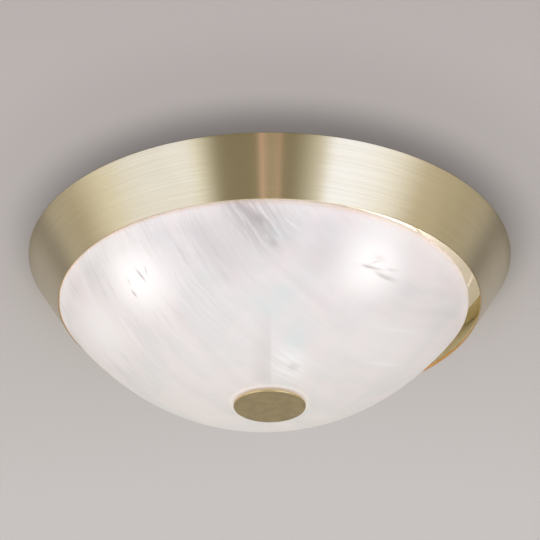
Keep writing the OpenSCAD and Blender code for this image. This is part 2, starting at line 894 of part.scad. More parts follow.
earth_lead();
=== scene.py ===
"""Flush glass ceiling light: a spun brass skirt, an alabaster-effect glass bowl and three screw-in lamps.

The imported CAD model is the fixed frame. Smooth, finely made pieces stand for the CAD nodes whose form or
finish needs more than a solid gives, and every other node keeps its shape and gets its real material.
Sizes are in millimetres up to the point where a mesh is made, and colours are sRGB hex values.
"""

import logging
import math
from dataclasses import dataclass
from enum import Enum

import bmesh
import bpy
import numpy as np
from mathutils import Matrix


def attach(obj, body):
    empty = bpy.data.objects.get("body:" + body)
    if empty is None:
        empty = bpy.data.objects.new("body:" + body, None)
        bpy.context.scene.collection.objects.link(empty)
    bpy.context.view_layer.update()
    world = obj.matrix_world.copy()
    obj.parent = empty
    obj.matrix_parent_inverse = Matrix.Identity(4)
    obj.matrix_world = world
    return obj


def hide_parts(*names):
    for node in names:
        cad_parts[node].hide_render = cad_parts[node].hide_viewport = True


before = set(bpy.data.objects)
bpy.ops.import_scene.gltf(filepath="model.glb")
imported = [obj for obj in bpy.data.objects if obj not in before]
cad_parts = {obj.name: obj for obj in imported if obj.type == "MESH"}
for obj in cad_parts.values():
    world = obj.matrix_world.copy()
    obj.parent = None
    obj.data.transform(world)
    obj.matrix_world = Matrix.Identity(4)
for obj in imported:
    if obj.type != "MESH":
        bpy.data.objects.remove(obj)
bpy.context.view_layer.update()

LOG = logging.getLogger("ceiling_light")
MM = 0.001
TURN = 2 * math.pi
LAMPS = (1, 2, 3)
LAMP_TURN = 80.0  # degrees from +X to the first lamp
PLATE_UNDER = -2.7  # underside of the back plate where the feet and the block sit
THREAD_PITCH = 3.629  # of the lamp caps and the shells of their holders
THREAD_DEPTH = 0.95
Route = tuple[tuple[float, float, float, float], ...]


# Small tools


def to_linear(code: str) -> tuple[float, float, float, float]:
    """Turns an sRGB hex colour into the linear one that Blender's sockets take.

    Args:
        code: the colour as "#RRGGBB".

    Returns:
        Linear red, green, blue and an alpha of 1.
    """
    parts = [int(code[i : i + 2], 16) / 255 for i in (1, 3, 5)]
    red, green, blue = (
        p / 12.92 if p <= 0.04045 else ((p + 0.055) / 1.055) ** 2.4 for p in parts
    )
    return red, green, blue, 1.0


def add_node(
    tree: bpy.types.NodeTree, kind: str, sockets: dict | None = None, **settings
) -> bpy.types.Node:
    """Adds one shader node with its settings and links.

    Args:
        tree: the node tree that gets it.
        kind: the node's type without its "ShaderNode" start.
        sockets: input name or number, against a constant, the socket that feeds it, or the node whose
            first live output does.
        settings: the node's own properties.

    Returns:
        The new node.
    """
    node = tree.nodes.new("ShaderNode" + kind)
    for name, value in settings.items():
        setattr(node, name, value)
    for key, value in (sockets or {}).items():
        if isinstance(value, bpy.types.Node):
            value = next(given for given in value.outputs if given.enabled)
        if isinstance(value, bpy.types.NodeSocket):
            tree.links.new(value, node.inputs[key])
        else:
            node.inputs[key].default_value = value
    return node


def new_material(name: str) -> tuple[bpy.types.Material, bpy.types.NodeTree]:
    """Makes an empty node material.

    Args:
        name: the material's name.

    Returns:
        The material and its tree.
    """
    material = bpy.data.materials.new(name)
    material.use_nodes = True
    material.node_tree.nodes.clear()
    return material, material.node_tree


def add_object(name: str, data: bpy.types.ID) -> bpy.types.Object:
    """Adds an object with the given data to the scene."""
    made = bpy.data.objects.new(name, data)
    bpy.context.scene.collection.objects.link(made)
    return made


def stacked(*parts: np.ndarray) -> np.ndarray:
    """Stretches arrays to one shape and stacks them along a last axis."""
    return np.stack(np.broadcast_arrays(*parts), axis=2)


def upright(r: float, heights: np.ndarray) -> np.ndarray:
    """A line at one radius through the given heights, as radius and height."""
    return np.stack([np.full_like(heights, r), heights], axis=1)


def run_along(line: np.ndarray) -> np.ndarray:
    """The length run along a line up to each of its points."""
    return np.concatenate([[0], np.cumsum(np.linalg.norm(np.diff(line, axis=0), axis=1))])


# Surfaces as arrays


@dataclass
class Shell:
    """A closed surface as whole arrays.

    Args:
        points: n x 3 places in millimetres.
        faces: m x 4 point numbers, anticlockwise from outside.
        uv: m x 4 x 2 places on the surface in metres: along the profile, then around it.
    """

    points: np.ndarray
    faces: np.ndarray
    uv: np.ndarray

    @classmethod
    def grid(cls, points: np.ndarray, uv: np.ndarray) -> "Shell":
        """Joins a grid of points into four-cornered faces that look outwards.

        Face (i, j) has the corners (i, j), (i, j + 1), (i + 1, j + 1) and (i + 1, j). The signed volume,
        a sixth of the sum of a . (b x c) over the triangles, tells whether they have to be turned round.

        Args:
            points: rows x columns x 3 in millimetres.
            uv: rows x columns x 2 in metres.

        Returns:
            The shell.
        """
        rows, cols = points.shape[:2]
        first = (np.arange(rows - 1)[:, None] * cols + np.arange(cols - 1)).ravel()
        faces = np.stack([first, first + 1, first + cols + 1, first + cols], axis=1)
        flat = points.reshape(-1, 3)
        a, b, c, d = (flat[faces[:, k]] for k in range(4))
        volume = (a * np.cross(b, c)).sum() + (a * np.cross(c, d)).sum()
        if volume < 0:
            faces = faces[:, ::-1]
        return cls(flat, faces, uv.reshape(-1, 2)[faces])

    def placed(self, matrix: np.ndarray) -> "Shell":
        """Moves the shell by a 4 x 4 rotation and shift in millimetres."""
        points = self.points @ matrix[:3, :3].T + matrix[:3, 3]
        return Shell(points, self.faces, self.uv)

    @staticmethod
    def joined(shells: list["Shell"]) -> "Shell":
        """Puts several shells into one, each still closed in itself."""
        starts = np.cumsum([0] + [len(s.points) for s in shells[:-1]])
        return Shell(
            np.vstack([s.points for s in shells]),
            np.vstack([s.faces + k for s, k in zip(shells, starts)]),
            np.vstack([s.uv for s in shells]),
        )

    def to_object(self, name: str, sharp: float) -> bpy.types.Object:
        """Makes a Blender mesh object, with its seams and poles closed and its hard edges kept.

        Args:
            name: the piece's name.
            sharp: angle in degrees above which an edge stays hard.

        Returns:
            The new object, at the origin.
        """
        mesh = bpy.data.meshes.new(name)
        mesh.vertices.add(len(self.points))
        mesh.vertices.foreach_set("co", (self.points * MM).astype(np.float32).ravel())
        mesh.loops.add(self.faces.size)
        mesh.loops.foreach_set("vertex_index", self.faces.astype(np.int32).ravel())
        mesh.polygons.add(len(self.faces))
        mesh.polygons.foreach_set("loop_start", np.arange(0, self.faces.size, 4, dtype=np.int32))
        layer = mesh.uv_layers.new(name="surface")
        layer.data.foreach_set("uv", self.uv.astype(np.float32).ravel())
        mesh.update(calc_edges=True)
        work = bmesh.new()
        work.from_mesh(mesh)
        bmesh.ops.remove_doubles(work, verts=work.verts, dist=2e-7)
        bmesh.ops.dissolve_degenerate(work, edges=work.edges, dist=1e-8)
        work.to_mesh(mesh)
        work.free()
        mesh.shade_smooth()
        mesh.set_sharp_from_angle(angle=math.radians(sharp))
        return add_object(name, mesh)


def eased(profile: np.ndarray, reach: float, closed: bool = True, steps: int = 4) -> np.ndarray:
    """Rounds every corner of a profile.

    A parabola (1-s)^2 A + 2s(1-s) P + s^2 B replaces corner P, where A and B lie on its two sides, the
    given reach from it, or 0.45 of a shorter side.

    Args:
        profile: n x 2 corners.
        reach: how far from a corner its rounding starts, in millimetres.
        closed: whether the last corner joins the first. The two ends of an open one stay.
        steps: spans in each rounding.

    Returns:
        The rounded profile, which ends where it starts when it is closed.
    """
    before, after = np.roll(profile, 1, axis=0), np.roll(profile, -1, axis=0)
    to_a, to_b = before - profile, after - profile
    len_a, len_b = np.linalg.norm(to_a, axis=1), np.linalg.norm(to_b, axis=1)
    a = profile + to_a * (np.minimum(reach, 0.45 * len_a) / len_a)[:, None]
    b = profile + to_b * (np.minimum(reach, 0.45 * len_b) / len_b)[:, None]
    s = np.linspace(0, 1, steps + 1)[None, :, None]
    round_off = (1 - s) ** 2 * a[:, None] + 2 * s * (1 - s) * profile[:, None] + s**2 * b[:, None]
    if closed:
        line = round_off.reshape(-1, 2)
        return np.vstack([line, line[:1]])
    return np.vstack([profile[:1], round_off[1:-1].reshape(-1, 2), profile[-1:]])


def arc(centre: tuple[float, float], r: float, start: float, end: float, n: int) -> np.ndarray:
    """Points on a circle between two angles in degrees: centre + r (cos t, sin t)."""
    t = np.radians(np.linspace(start, end, n + 1))
    return np.array(centre) + r * np.stack([np.cos(t), np.sin(t)], axis=1)


def surface_uv(profile: np.ndarray, cols: int) -> np.ndarray:
    """Surface places for a turned profile: the length run along it, and the arc at its mean radius.

    Args:
        profile: k x 2 of radius and height in millimetres.
        cols: columns round the axis.

    Returns:
        k x cols x 2 in metres.
    """
    around = np.linspace(0, TURN, cols) * max(profile[:, 0].mean(), 1.0)
    return stacked(run_along(profile)[:, None], around) * MM


def turned(profile: np.ndarray, segments: int = 96, centre: tuple[float, float] = (0, 0)) -> Shell:
    """Turns a profile round the Z axis: the point at angle t is (r cos t, r sin t, z).

    Args:
        profile: k x 2 of radius and height in millimetres, closed in itself or from axis to axis.
        segments: columns in a whole turn.
        centre: where the axis stands in X and Y.

    Returns:
        The closed shell.
    """
    t = np.linspace(0, TURN, segments + 1)
    r, z = profile[:, 0, None], profile[:, 1, None]
    points = stacked(centre[0] + r * np.cos(t), centre[1] + r * np.sin(t), z)
    return Shell.grid(points, surface_uv(profile, segments + 1))


def screw_thread(
    profile: np.ndarray, pitch: float, depth: float, span: tuple[float, float], segments: int,
    start: float = 0.0,
) -> Shell:
    """Turns a profile whose radius rises and falls along a right-hand helix.

    The radius at height z and angle t is r - depth/2 (1 - cos(2 pi ((z - start)/pitch - t/(2 pi)))), which
    fades to r over one pitch at both ends of the span, so that the thread runs out as a rolled one does.

    Args:
        profile: k x 2 of radius and height in millimetres, with several points to a pitch in the span.
        pitch: rise of the helix in one turn.
        depth: crest to root.
        span: heights between which the thread runs.
        segments: columns in a whole turn.
        start: height at which a crest lies at angle 0.

    Returns:
        The closed shell.
    """
    t = np.linspace(0, TURN, segments + 1)
    r, z = profile[:, 0, None], profile[:, 1, None]
    fade = np.clip(np.minimum(z - span[0], span[1] - z) / pitch, 0, 1)
    wave = 1 - np.cos(TURN * (z - start) / pitch - t)
    radius = np.maximum(r - depth / 2 * wave * fade, 0)
    points = stacked(radius * np.cos(t), radius * np.sin(t), z)
    return Shell.grid(points, surface_uv(profile, segments + 1))


def hexagon_nut(across: float, bore: float, low: float, high: float) -> Shell:
    """A nut with its corners chamfered at 30 degrees.

    The side lies at radius (across/2) / cos(t mod 60 - 30) and both faces drop by tan 30 for each
    millimetre that the side stands out past the chamfer circle.

    Args:
        across: width across flats.
        bore: hole diameter.
        low: height of the lower face.
        high: height of the upper face.

    Returns:
        The closed shell.
    """
    t = np.linspace(0, TURN, 73)
    side = across / 2 / np.cos(np.mod(t, TURN / 6) - TURN / 12)
    cut_r = across / 2 * 0.97
    drop = (side - cut_r) * math.tan(math.radians(30))
    flat, zero = np.full_like(t, cut_r), np.zeros_like(t)
    inner = zero + bore / 2
    r = np.stack([inner, flat, side, side, flat, inner, inner])
    z = np.stack([
        zero + low, zero + low, low + drop, high - drop, zero + high, zero + high, zero + low,
    ])
    return Shell.grid(stacked(r * np.cos(t), r * np.sin(t), z), stacked(z, r * t) * MM)


class Drive(Enum):
    """What a screwdriver fits into."""

    CROSS = "cross"
    SLOT = "slot"


@dataclass(frozen=True)
class Screw:
    """A machine screw with its head below z = 0 and its shank above, as the CAD draws it.

    Args:
        shank: shank diameter in millimetres.
        length: shank length.
        head: head diameter.
        head_h: head height.
        drive: shape of the recess.
    """

    shank: float
    length: float
    head: float
    head_h: float
    drive: Drive = Drive.CROSS

    def shell(self) -> Shell:
        """Turns the head and shank and presses the recess into the head.

        The head's face is lifted towards the shank by depth x edge(|across|) x edge(|along|), where edge
        falls from 1 to 0 over a fifth of a millimetre at half the recess's width or length. A cross takes
        the larger of the two crossed slots and gets shallower outwards.

        Returns:
            The closed shell.
        """
        r, h = self.head / 2, self.head_h
        crown = np.array([[0, -h], [r * 0.86, -h * 0.92], [r, -h * 0.35], [r, 0]])
        crown = eased(crown, h * 0.3, False, 5)
        face_r = np.linspace(0, crown[1, 0], 15)[:-1]
        face = np.stack([face_r, np.full_like(face_r, -h)], axis=1)
        shank = np.array([
            [self.shank / 2, 0], [self.shank / 2, self.length - 0.4],
            [self.shank / 2 - 0.4, self.length], [0, self.length],
        ])
        line = np.vstack([face, crown[1:], shank])
        t = np.linspace(0, TURN, 65)
        x, y = line[:, 0, None] * np.cos(t), line[:, 0, None] * np.sin(t)
        z = np.broadcast_to(line[:, 1, None], x.shape).copy()
        width, reach = r * 0.2, (r * 0.62 if self.drive is Drive.CROSS else r * 2)

        def slot(along: np.ndarray, across: np.ndarray) -> np.ndarray:
            """How deep a slot is, from 0 to 1."""
            side = np.clip((width / 2 - np.abs(across)) / 0.2 + 0.5, 0, 1)
            return side * np.clip((reach - np.abs(along)) / 0.3 + 0.5, 0, 1)

        cut = slot(x, y)
        if self.drive is Drive.CROSS:
            cut = np.maximum(cut, slot(y, x)) * np.clip(1.2 - np.hypot(x, y) / r, 0, 1)
        on_face = np.arange(len(line))[:, None] < len(face) + 3
        z += np.where(on_face, cut * h * 0.6, 0)
        return Shell.grid(stacked(x, y, z), surface_uv(line, 65))


def round_bar(path: np.ndarray, diameter: float, sides: int = 14) -> Shell:
    """Carries a circle along a path, closed at both ends.

    Ring i is path[i] + r (cos t u + sin t v), where u and v are square to the path. u is carried on from
    ring to ring by taking out the part that lies along the path.

    Args:
        path: n x 3 places in millimetres.
        diameter: of the circle.
        sides: columns round it.

    Returns:
        The closed shell.
    """
    heading = np.gradient(path, axis=0)
    heading /= np.linalg.norm(heading, axis=1)[:, None]
    u = np.empty_like(path)
    u[0] = np.cross(heading[0], (0.3, 0.9, 0.1))
    for i in range(len(path)):
        last = u[max(i - 1, 0)]
        u[i] = last - (last @ heading[i]) * heading[i]
        u[i] /= np.linalg.norm(u[i])
    v = np.cross(heading, u)
    t = np.linspace(0, TURN, sides + 1)
    ends = np.array([0] + [1] * len(path) + [0])[:, None, None] * diameter / 2
    rows = np.concatenate([[0], np.arange(len(path)), [len(path) - 1]])
    rings = path[rows][:, None] + ends * (
        np.cos(t)[None, :, None] * u[rows][:, None] + np.sin(t)[None, :, None] * v[rows][:, None]
    )
    return Shell.grid(rings, stacked(run_along(path)[rows, None], t * diameter / 2) * MM)


def smooth_path(corners: np.ndarray, steps: int = 8) -> np.ndarray:
    """A Catmull-Rom line through given points, the same as the CAD's leads follow.

    Between b and c it is half of 2b + (c - a) t + (2a - 5b + 4c - d) t^2 + (3b - a - 3c + d) t^3.

    Args:
        corners: n x 3 places in millimetres.
        steps: spans between two of them.

    Returns:
        The line's places.
    """
    k = np.arange(len(corners) - 1)
    a, b = corners[np.maximum(k - 1, 0)], corners[k]
    c, d = corners[k + 1], corners[np.minimum(k + 2, len(corners) - 1)]
    t = (np.arange(steps) / steps)[None, :, None]
    a, b, c, d = (p[:, None] for p in (a, b, c, d))
    line = 0.5 * (
        2 * b + (c - a) * t + (2 * a - 5 * b + 4 * c - d) * t**2 + (3 * b - a - 3 * c + d) * t**3
    )
    return np.vstack([line.reshape(-1, 3), corners[-1:]])


def sine(degrees: float) -> float:
    """The sine of an angle in degrees."""
    return math.sin(math.radians(degrees))


def turn_z(degrees: float, shift: tuple[float, float, float] = (0, 0, 0)) -> np.ndarray:
    """A 4 x 4 turn round Z, after a shift along the turned piece's own axes."""
    c, s = math.cos(math.radians(degrees)), math.sin(math.radians(degrees))
    matrix = np.eye(4)
    matrix[:2, :2] = [[c, -s], [s, c]]
    matrix[:3, 3] = matrix[:3, :3] @ np.array(shift, float)
    return matrix


def spot(turn: float, x: float, y: float, z: float) -> tuple[float, float, float]:
    """A place in the frame of what lies at that turn from the first lamp: outwards, sideways and up."""
    return tuple((turn_z(LAMP_TURN + turn) @ np.array([x, y, z, 1.0]))[:3])


def lamp_frame(number: int, along: float = 0.0) -> np.ndarray:
    """The frame of a lamp: z runs outwards from the base of its holder, and -x is up."""
    tipped = np.array([[0, 0, 1, 31.5], [0, 1, 0, 0], [-1, 0, 0, -42], [0, 0, 0, 1.0]])
    slid = np.eye(4)
    slid[2, 3] = along
    return turn_z(LAMP_TURN + 120 * (number - 1)) @ tipped @ slid


# Finishes

SOFT = {"interpolation_type": "SMOOTHSTEP"}
RGBA = {"data_type": "RGBA"}


@dataclass(frozen=True)
class Finish:
    """A surface of one material, made one way.

    Args:
        name: what the material really is.
        colour: main sRGB colour.
        cloud: sRGB colour of its faint patches.
        metallic: 1 for bare metal, else 0.
        roughness: mean roughness.
        swing: how far the roughness swings either way. Below 0, the crests of the grain are smoother.
        patch_mm: size of the patches.
        grain_mm: size of the fine grain that the bump and roughness follow.
        bump_mm: height of that grain.
        ior: refractive index, kept at the default for metals.
        extras: other constant sockets of the shader.
    """

    name: str
    colour: str
    cloud: str
    metallic: float = 0.0
    roughness: float = 0.5
    swing: float = 0.06
    patch_mm: float = 18.0
    grain_mm: float = 0.8
    bump_mm: float = 0.01
    ior: float = 1.5
    extras: tuple[tuple[str, object], ...] = ()

    def material(self) -> bpy.types.Material:
        """Builds the material: its constants, and over them what differs from place to place.

        Returns:
            The material.
        """
        material, tree = new_material(self.name)
        constants = {"Metallic": self.metallic, "IOR": self.ior, "Roughness": self.roughness}
        varied = self.sockets(tree, add_node(tree, "TexCoord"))
        shader = add_node(tree, "BsdfPrincipled", constants | dict(self.extras) | varied)
        add_node(tree, "OutputMaterial", {"Surface": shader})
        return material

    def sockets(self, tree: bpy.types.NodeTree, surface: bpy.types.Node) -> dict:
        """Builds what differs from place to place: the tone, and grain in the roughness and bump.

        Args:
            tree: the material's node tree.
            surface: its texture coordinates.

        Returns:
            Sockets of the shader, each with what feeds it.
        """
        grain = add_node(tree, "TexNoise", {
            "Vector": surface.outputs["Object"], "Scale": 1 / (self.grain_mm * MM), "Detail": 4.0,
        })
        return {"Base Color": self.tone(tree, surface)} | self.worn(tree, grain)

    def tone(self, tree: bpy.types.NodeTree, surface: bpy.types.Node) -> bpy.types.Node:
        """The node that gives the colour, from the texture coordinates."""
        return self.patches(tree, surface, 0.35, 0.65)

    def patches(
        self, tree: bpy.types.NodeTree, surface: bpy.types.Node, start: float, end: float,
        **noise: float,
    ) -> bpy.types.Node:
        """Lays soft patches of the cloud colour over the main one.

        Args:
            tree: the material's node tree.
            surface: its texture coordinates.
            start: the noise at which a patch starts.
            end: the noise at which it is full.
            noise: other sockets of the noise.

        Returns:
            The node that gives the colour.
        """
        scale = 1 / (self.patch_mm * MM)
        patch = add_node(tree, "TexNoise", {
            "Vector": surface.outputs["Object"], "Scale": scale, "Detail": 3.0,
        } | noise)
        share = add_node(tree, "MapRange", {0: patch, 1: start, 2: end}, **SOFT)
        colours = {6: to_linear(self.colour), 7: to_linear(self.cloud)}
        return add_node(tree, "Mix", {0: share} | colours, **RGBA)

    def worn(self, tree: bpy.types.NodeTree, pattern: bpy.types.Node) -> dict:
        """Makes the roughness and the bump follow a pattern.

        Args:
            tree: the material's node tree.
            pattern: the pattern, from 0 to 1.

        Returns:
            These two sockets of the shader, each with what feeds it.
        """
        least, most = self.roughness - self.swing, self.roughness + self.swing
        rough = add_node(tree, "MapRange", {0: pattern, 1: 0.3, 2: 0.7, 3: least, 4: most}, **SOFT)
        bump = add_node(tree, "Bump", {"Distance": self.bump_mm * MM, "Height": pattern})
        return {"Roughness": rough, "Normal": bump}


@dataclass(frozen=True)
class BrushedBrass(Finish):
    """Sheet brass (63% copper), spun, brushed against an abrasive while it turned, and lacquered.

    The scratches run round the axis, so a highlight smears up and down the wall and keeps to the azimuths
    that face a light. They are drawn further apart than real ones, to show. The inside wasn't brushed or
    lacquered, so it has gone dull and olive; the orange of its fold is painted warm lamplight.

    Args:
        scratch_mm: distance between scratches.
        run_mm: length of a scratch.
        between: linear share of each colour that is left between crests.
        inside: sRGB colour of the inner face.
        fold: sRGB colour of the ply that is folded up inside, orange for the warm lamplight painted on it.
        fold_top: height in millimetres up to which that ply reaches.
        dulled: how much rougher the inner face is.
    """

    scratch_mm: float = 0.6
    run_mm: float = 70.0
    between: tuple[float, float, float, float] = (0.960, 0.956, 0.948, 1)
    inside: str = "#D6D2B8"
    fold: str = "#E8B97C"
    fold_top: float = -37.5
    dulled: float = 0.42

    def sockets(self, tree: bpy.types.NodeTree, surface: bpy.types.Node) -> dict:
        """Builds scratches as a noise drawn out round the axis and fine in Z.

        The shader's tangent runs up the profile, across the scratches. A face is an inner one where its
        normal points towards the axis, and has no scratches to draw a reflection out.

        Args:
            tree: the material's node tree.
            surface: its texture coordinates.

        Returns:
            Sockets of the shader, each with what feeds it.
        """
        x, y, z = add_node(tree, "SeparateXYZ", {0: surface.outputs["Object"]}).outputs
        fine = add_node(tree, "Math", {0: z, 1: self.run_mm / self.scratch_mm}, operation="MULTIPLY")
        drawn = add_node(tree, "CombineXYZ", {0: x, 1: y, 2: fine})
        scale = 1 / (self.run_mm * MM)
        scratch = add_node(tree, "TexNoise", {"Vector": drawn, "Scale": scale, "Detail": 5.0})
        tone = self.patches(tree, surface, 0.3, 0.7, Distortion=0.6)
        dark = add_node(tree, "Mix", {0: 1.0, 6: tone, 7: self.between}, blend_type="MULTIPLY", **RGBA)
        crest = add_node(tree, "MapRange", {0: scratch, 1: 0.42, 2: 0.62}, **SOFT)
        brushed = add_node(tree, "Mix", {0: crest, 6: dark, 7: tone}, **RGBA)
        level = add_node(tree, "CombineXYZ", {0: x, 1: y})
        outward = add_node(tree, "VectorMath", {
            0: level, 1: surface.outputs["Normal"],
        }, operation="DOT_PRODUCT")
        inner = add_node(tree, "MapRange", {0: outward, 1: -0.05, 2: -0.10}, **SOFT)
        ply = add_node(tree, "MapRange", {
            0: z, 1: (self.fold_top + 0.3) * MM, 2: (self.fold_top - 0.3) * MM,
        })
        # The fold's orange is painted warm lamplight on the inside of the hem
        colours = {6: to_linear(self.inside), 7: to_linear(self.fold)}
        bare = add_node(tree, "Mix", {0: ply} | colours, **RGBA)
        worn = self.worn(tree, scratch)
        return worn | {
            "Base Color": add_node(tree, "Mix", {0: inner, 6: brushed, 7: bare}, **RGBA),
            "Roughness": add_node(tree, "Math", {
                0: inner, 1: self.dulled, 2: worn["Roughness"],
            }, operation="MULTIPLY_ADD"),
            "Tangent": add_node(tree, "Tangent", direction_type="UV_MAP", uv_map="surface"),
            "Anisotropic": add_node(tree, "Math", {0: 1.0, 1: inner}, operation="SUBTRACT"),
        }


@dataclass(frozen=True)
class PlateBrass(Finish):
    """Brass plate with a dulled, mottled face and a lighter turned edge, with a painted highlight in its
    colour.

    Args:
        edge: sRGB colour of the edge, lighter than the face, with a painted highlight in it.
    """

    edge: str = "#DEC896"

    def tone(self, tree: bpy.types.NodeTree, surface: bpy.types.Node) -> bpy.types.Node:
        """Builds the face's mottle, and the lighter edge with its painted highlight wherever the surface
        doesn't point down.

        Args:
            tree: the material's node tree.
            surface: its texture coordinates.

        Returns:
            The node that gives the colour.
        """
        face = self.patches(tree, surface, 0.35, 0.65, Detail=5.0, Distortion=0.5)
        upward = add_node(tree, "SeparateXYZ", {0: surface.outputs["Normal"]}).outputs[2]
        # Painted highlight: the edge is lighter wherever the surface doesn't point down
        bright = add_node(tree, "MapRange", {0: upward, 1: -0.97, 2: -0.7}, **SOFT)
        return add_node(tree, "Mix", {0: bright, 6: face, 7: to_linear(self.edge)}, **RGBA)


@dataclass(frozen=True)
class Mark:
    """A soft-edged mark in the glass: an ellipse on the drawing plane of its streaks.

    Args:
        across: its centre to the right, in millimetres.
        down: its centre down the drawing plane.
        size: half its length and half its width.
        lean: degrees by which its length is turned down from the right.
        tint: sRGB colour that it turns to.
        share: how much of that colour its middle takes.
        edge: where it starts and where it is full, in parts of its size.
        broken: how far the fine streaks break it up, from 0 to 1.
    """

    across: float
    down: float
    size: tuple[float, float]
    lean: float
    tint: str
    share: float
    edge: tuple[float, float] = (1.6, 0.0)
    broken: float = 0.0

    def over(
        self, tree: bpy.types.NodeTree, drawn: bpy.types.Node, hair: bpy.types.Node,
        colour: bpy.types.Node,
    ) -> bpy.types.Node:
        """Lays the mark over a colour.

        Args:
            tree: the glass's node tree.
            drawn: places on the drawing plane.
            hair: the fine streaks, from 0 to 1.
            colour: what lies under it.

        Returns:
            The node that gives the new colour.
        """
        own = add_node(tree, "Mapping", {
            "Vector": drawn, "Location": (self.across * MM, self.down * MM, 0),
            "Rotation": (0, 0, math.radians(self.lean)),
            "Scale": (self.size[0] * MM, self.size[1] * MM, 1),
        }, vector_type="TEXTURE")
        away = add_node(tree, "VectorMath", {0: own}, operation="LENGTH")
        share = add_node(tree, "MapRange", {
            0: away, 1: self.edge[0], 2: self.edge[1], 4: self.share,
        }, **SOFT)
        if self.broken:
            kept = add_node(tree, "MapRange", {0: hair, 1: 0.40, 2: 0.58, 3: 1 - self.broken})
            share = add_node(tree, "Math", {0: share, 1: kept}, operation="MULTIPLY")
        return add_node(tree, "Mix", {0: share, 6: colour, 7: to_linear(self.tint)}, **RGBA)


@dataclass(frozen=True)
class AlabasterGlass(Finish):
    """Pressed soda-lime glass, marbled and acid-washed to look like alabaster, with painted light from
    inside.

    It is milky throughout. The lamps' light in it is painted as emission: soft glows at fixed places near
    the lamps, and a fainter, even glow over the rest. Streaks lie in shells about an axis that passes
    beside the bowl, and a few veins, cool clouds and hairline folds have places of their own.
    """

    axis: tuple[float, float] = (172.0, -158.0)
    plane: tuple[float, float, float] = (0.0, 0.5, -0.866)
    glows: tuple[tuple[float, float, float], ...] = (
        (19.8, 112.3, -74.0), (-107.0, -110.0, -73.5), (84.0, -127.0, -69.5),
    )
    clouds: tuple[Mark, ...] = (
        Mark(-142, 53, (32, 22), 60, "#FFF8F5", 0.9), Mark(105, 68, (52, 30), 20, "#FBF4F1", 0.45),
        # The grey patches at -40 and 48 across darken the glass on either side of its middle
        Mark(132, -4, (22, 26), 0, "#FBF3F0", 0.5), Mark(-40, -13, (30, 14), 45, "#CFC7C4", 0.5),
        Mark(48, -8, (26, 14), 0, "#D6CECB", 0.45),
        Mark(10, 22.5, (9, 8), 20, "#DCE2DE", 0.65),
        Mark(-3, 32, (14, 7), 35, "#DCE2DE", 0.65),
        Mark(21, 59, (9, 14), 20, "#DDE2DF", 0.7),
        Mark(86, -29, (13, 9), 0, "#DEE2E0", 0.5),
        Mark(4.3, -27, (8, 5), 30, "#E6ECE6", 0.7),
        Mark(-9, -36, (30, 22), 50, "#BDB5B3", 0.75, broken=0.85),
        Mark(-28, -50, (20, 11), 40, "#BDB5B3", 0.55, broken=0.9),
        Mark(-8, -38, (5, 3.5), 50, "#B3ABA8", 0.55), Mark(2, -19, (5, 3), 40, "#B9B1AE", 0.5),
        Mark(-15, -41, (6, 3), 50, "#B9B1AE", 0.5), Mark(-23, -47, (8, 3.5), 40, "#B9B1AE", 0.5),
        Mark(-5, -42, (13, 1.2), 52, "#F6F2EF", 0.6, (1.3, 0.1)),
        Mark(17, -34, (10, 1.2), 39, "#F6F2EF", 0.6, (1.3, 0.1)),
        Mark(15, 80, (15, 15), 30, "#FCF9F7", 0.9, broken=0.75),
        Mark(19, 82, (5, 3.5), 0, "#C6C0BD", 0.4),
        Mark(106, 52, (14, 1.8), 9.5, "#F8F4F3", 0.6), Mark(94.5, 81, (17, 1.8), 7.4, "#F8F4F3", 0.6),
        Mark(-138.8, 54, (24, 1.8), 56, "#F6F2F0", 0.6), Mark(-120.4, 46, (18, 1.6), 57, "#F6F2F0", 0.6),
        Mark(-97.3, -11.8, (11, 1.4), 57, "#CBC2BF", 0.45), Mark(-88, 3, (8, 1.7), 62, "#CBC2BF", 0.4),
        Mark(-117.6, -18, (9, 1.4), 72, "#CBC2BF", 0.4), Mark(-128.9, 17.7, (9, 1.4), 68, "#CBC2BF", 0.4),
    )
    folds: tuple[Mark, ...] = (
        Mark(-103.9, 6.7, (8.2, 1), 52, "#9A928E", 0.7, (1.3, 0.1)),
        Mark(-99.5, 3, (5, 0.7), 74, "#A8A09C", 0.55, (1.3, 0.1)),
        Mark(-109.9, 21.7, (4.5, 1), 52, "#A09894", 0.65, (1.3, 0.1)),
        Mark(-114, 12, (5, 0.7), 66, "#B5ADA9", 0.5, (1.3, 0.1)),
        Mark(80, 0.2, (12, 1.5), 13, "#A59E98", 0.62, (1.4, 0.1), 0.7),
        Mark(84, -3.6, (6, 0.8), -20, "#B2AAA5", 0.5, (1.4, 0.1), 0.6),
        Mark(93, 7.9, (9.5, 2.2), 23, "#A59E98", 0.6, (1.5, 0.1), 0.7),
        Mark(99, 2.5, (6, 1.4), 8, "#B8B1AC", 0.45, (1.5, 0.1), 0.7),
        Mark(88.5, -7, (5.5, 3), 25, "#C2BBB6", 0.5, broken=0.5),
    )

    def sockets(self, tree: bpy.types.NodeTree, surface: bpy.types.Node) -> dict:
        """Builds clouds, streaks, the marks, the rod's painted shadow and the painted glows of emission.

        Args:
            tree: the material's node tree.
            surface: its texture coordinates.

        Returns:
            Sockets of the shader, each with what feeds it.
        """
        place = surface.outputs["Object"]
        across, _, height = add_node(tree, "SeparateXYZ", {0: place}).outputs
        down = add_node(tree, "VectorMath", {0: place, 1: self.plane}, operation="DOT_PRODUCT")
        drawn = add_node(tree, "CombineXYZ", {0: across, 1: down})
        shells = self.shells(tree, place, down, drawn)
        streak = add_node(tree, "TexNoise", {
            "Vector": shells, "Scale": 1 / (80 * MM), "Detail": 6.0, "Distortion": 0.2,
        })
        hair = add_node(tree, "TexNoise", {
            "Vector": shells, "Scale": 1 / (24 * MM), "Detail": 5.0, "Distortion": 0.2,
        })
        colour = self.patches(tree, surface, 0.66, 0.34, Detail=4.0, Distortion=0.7)
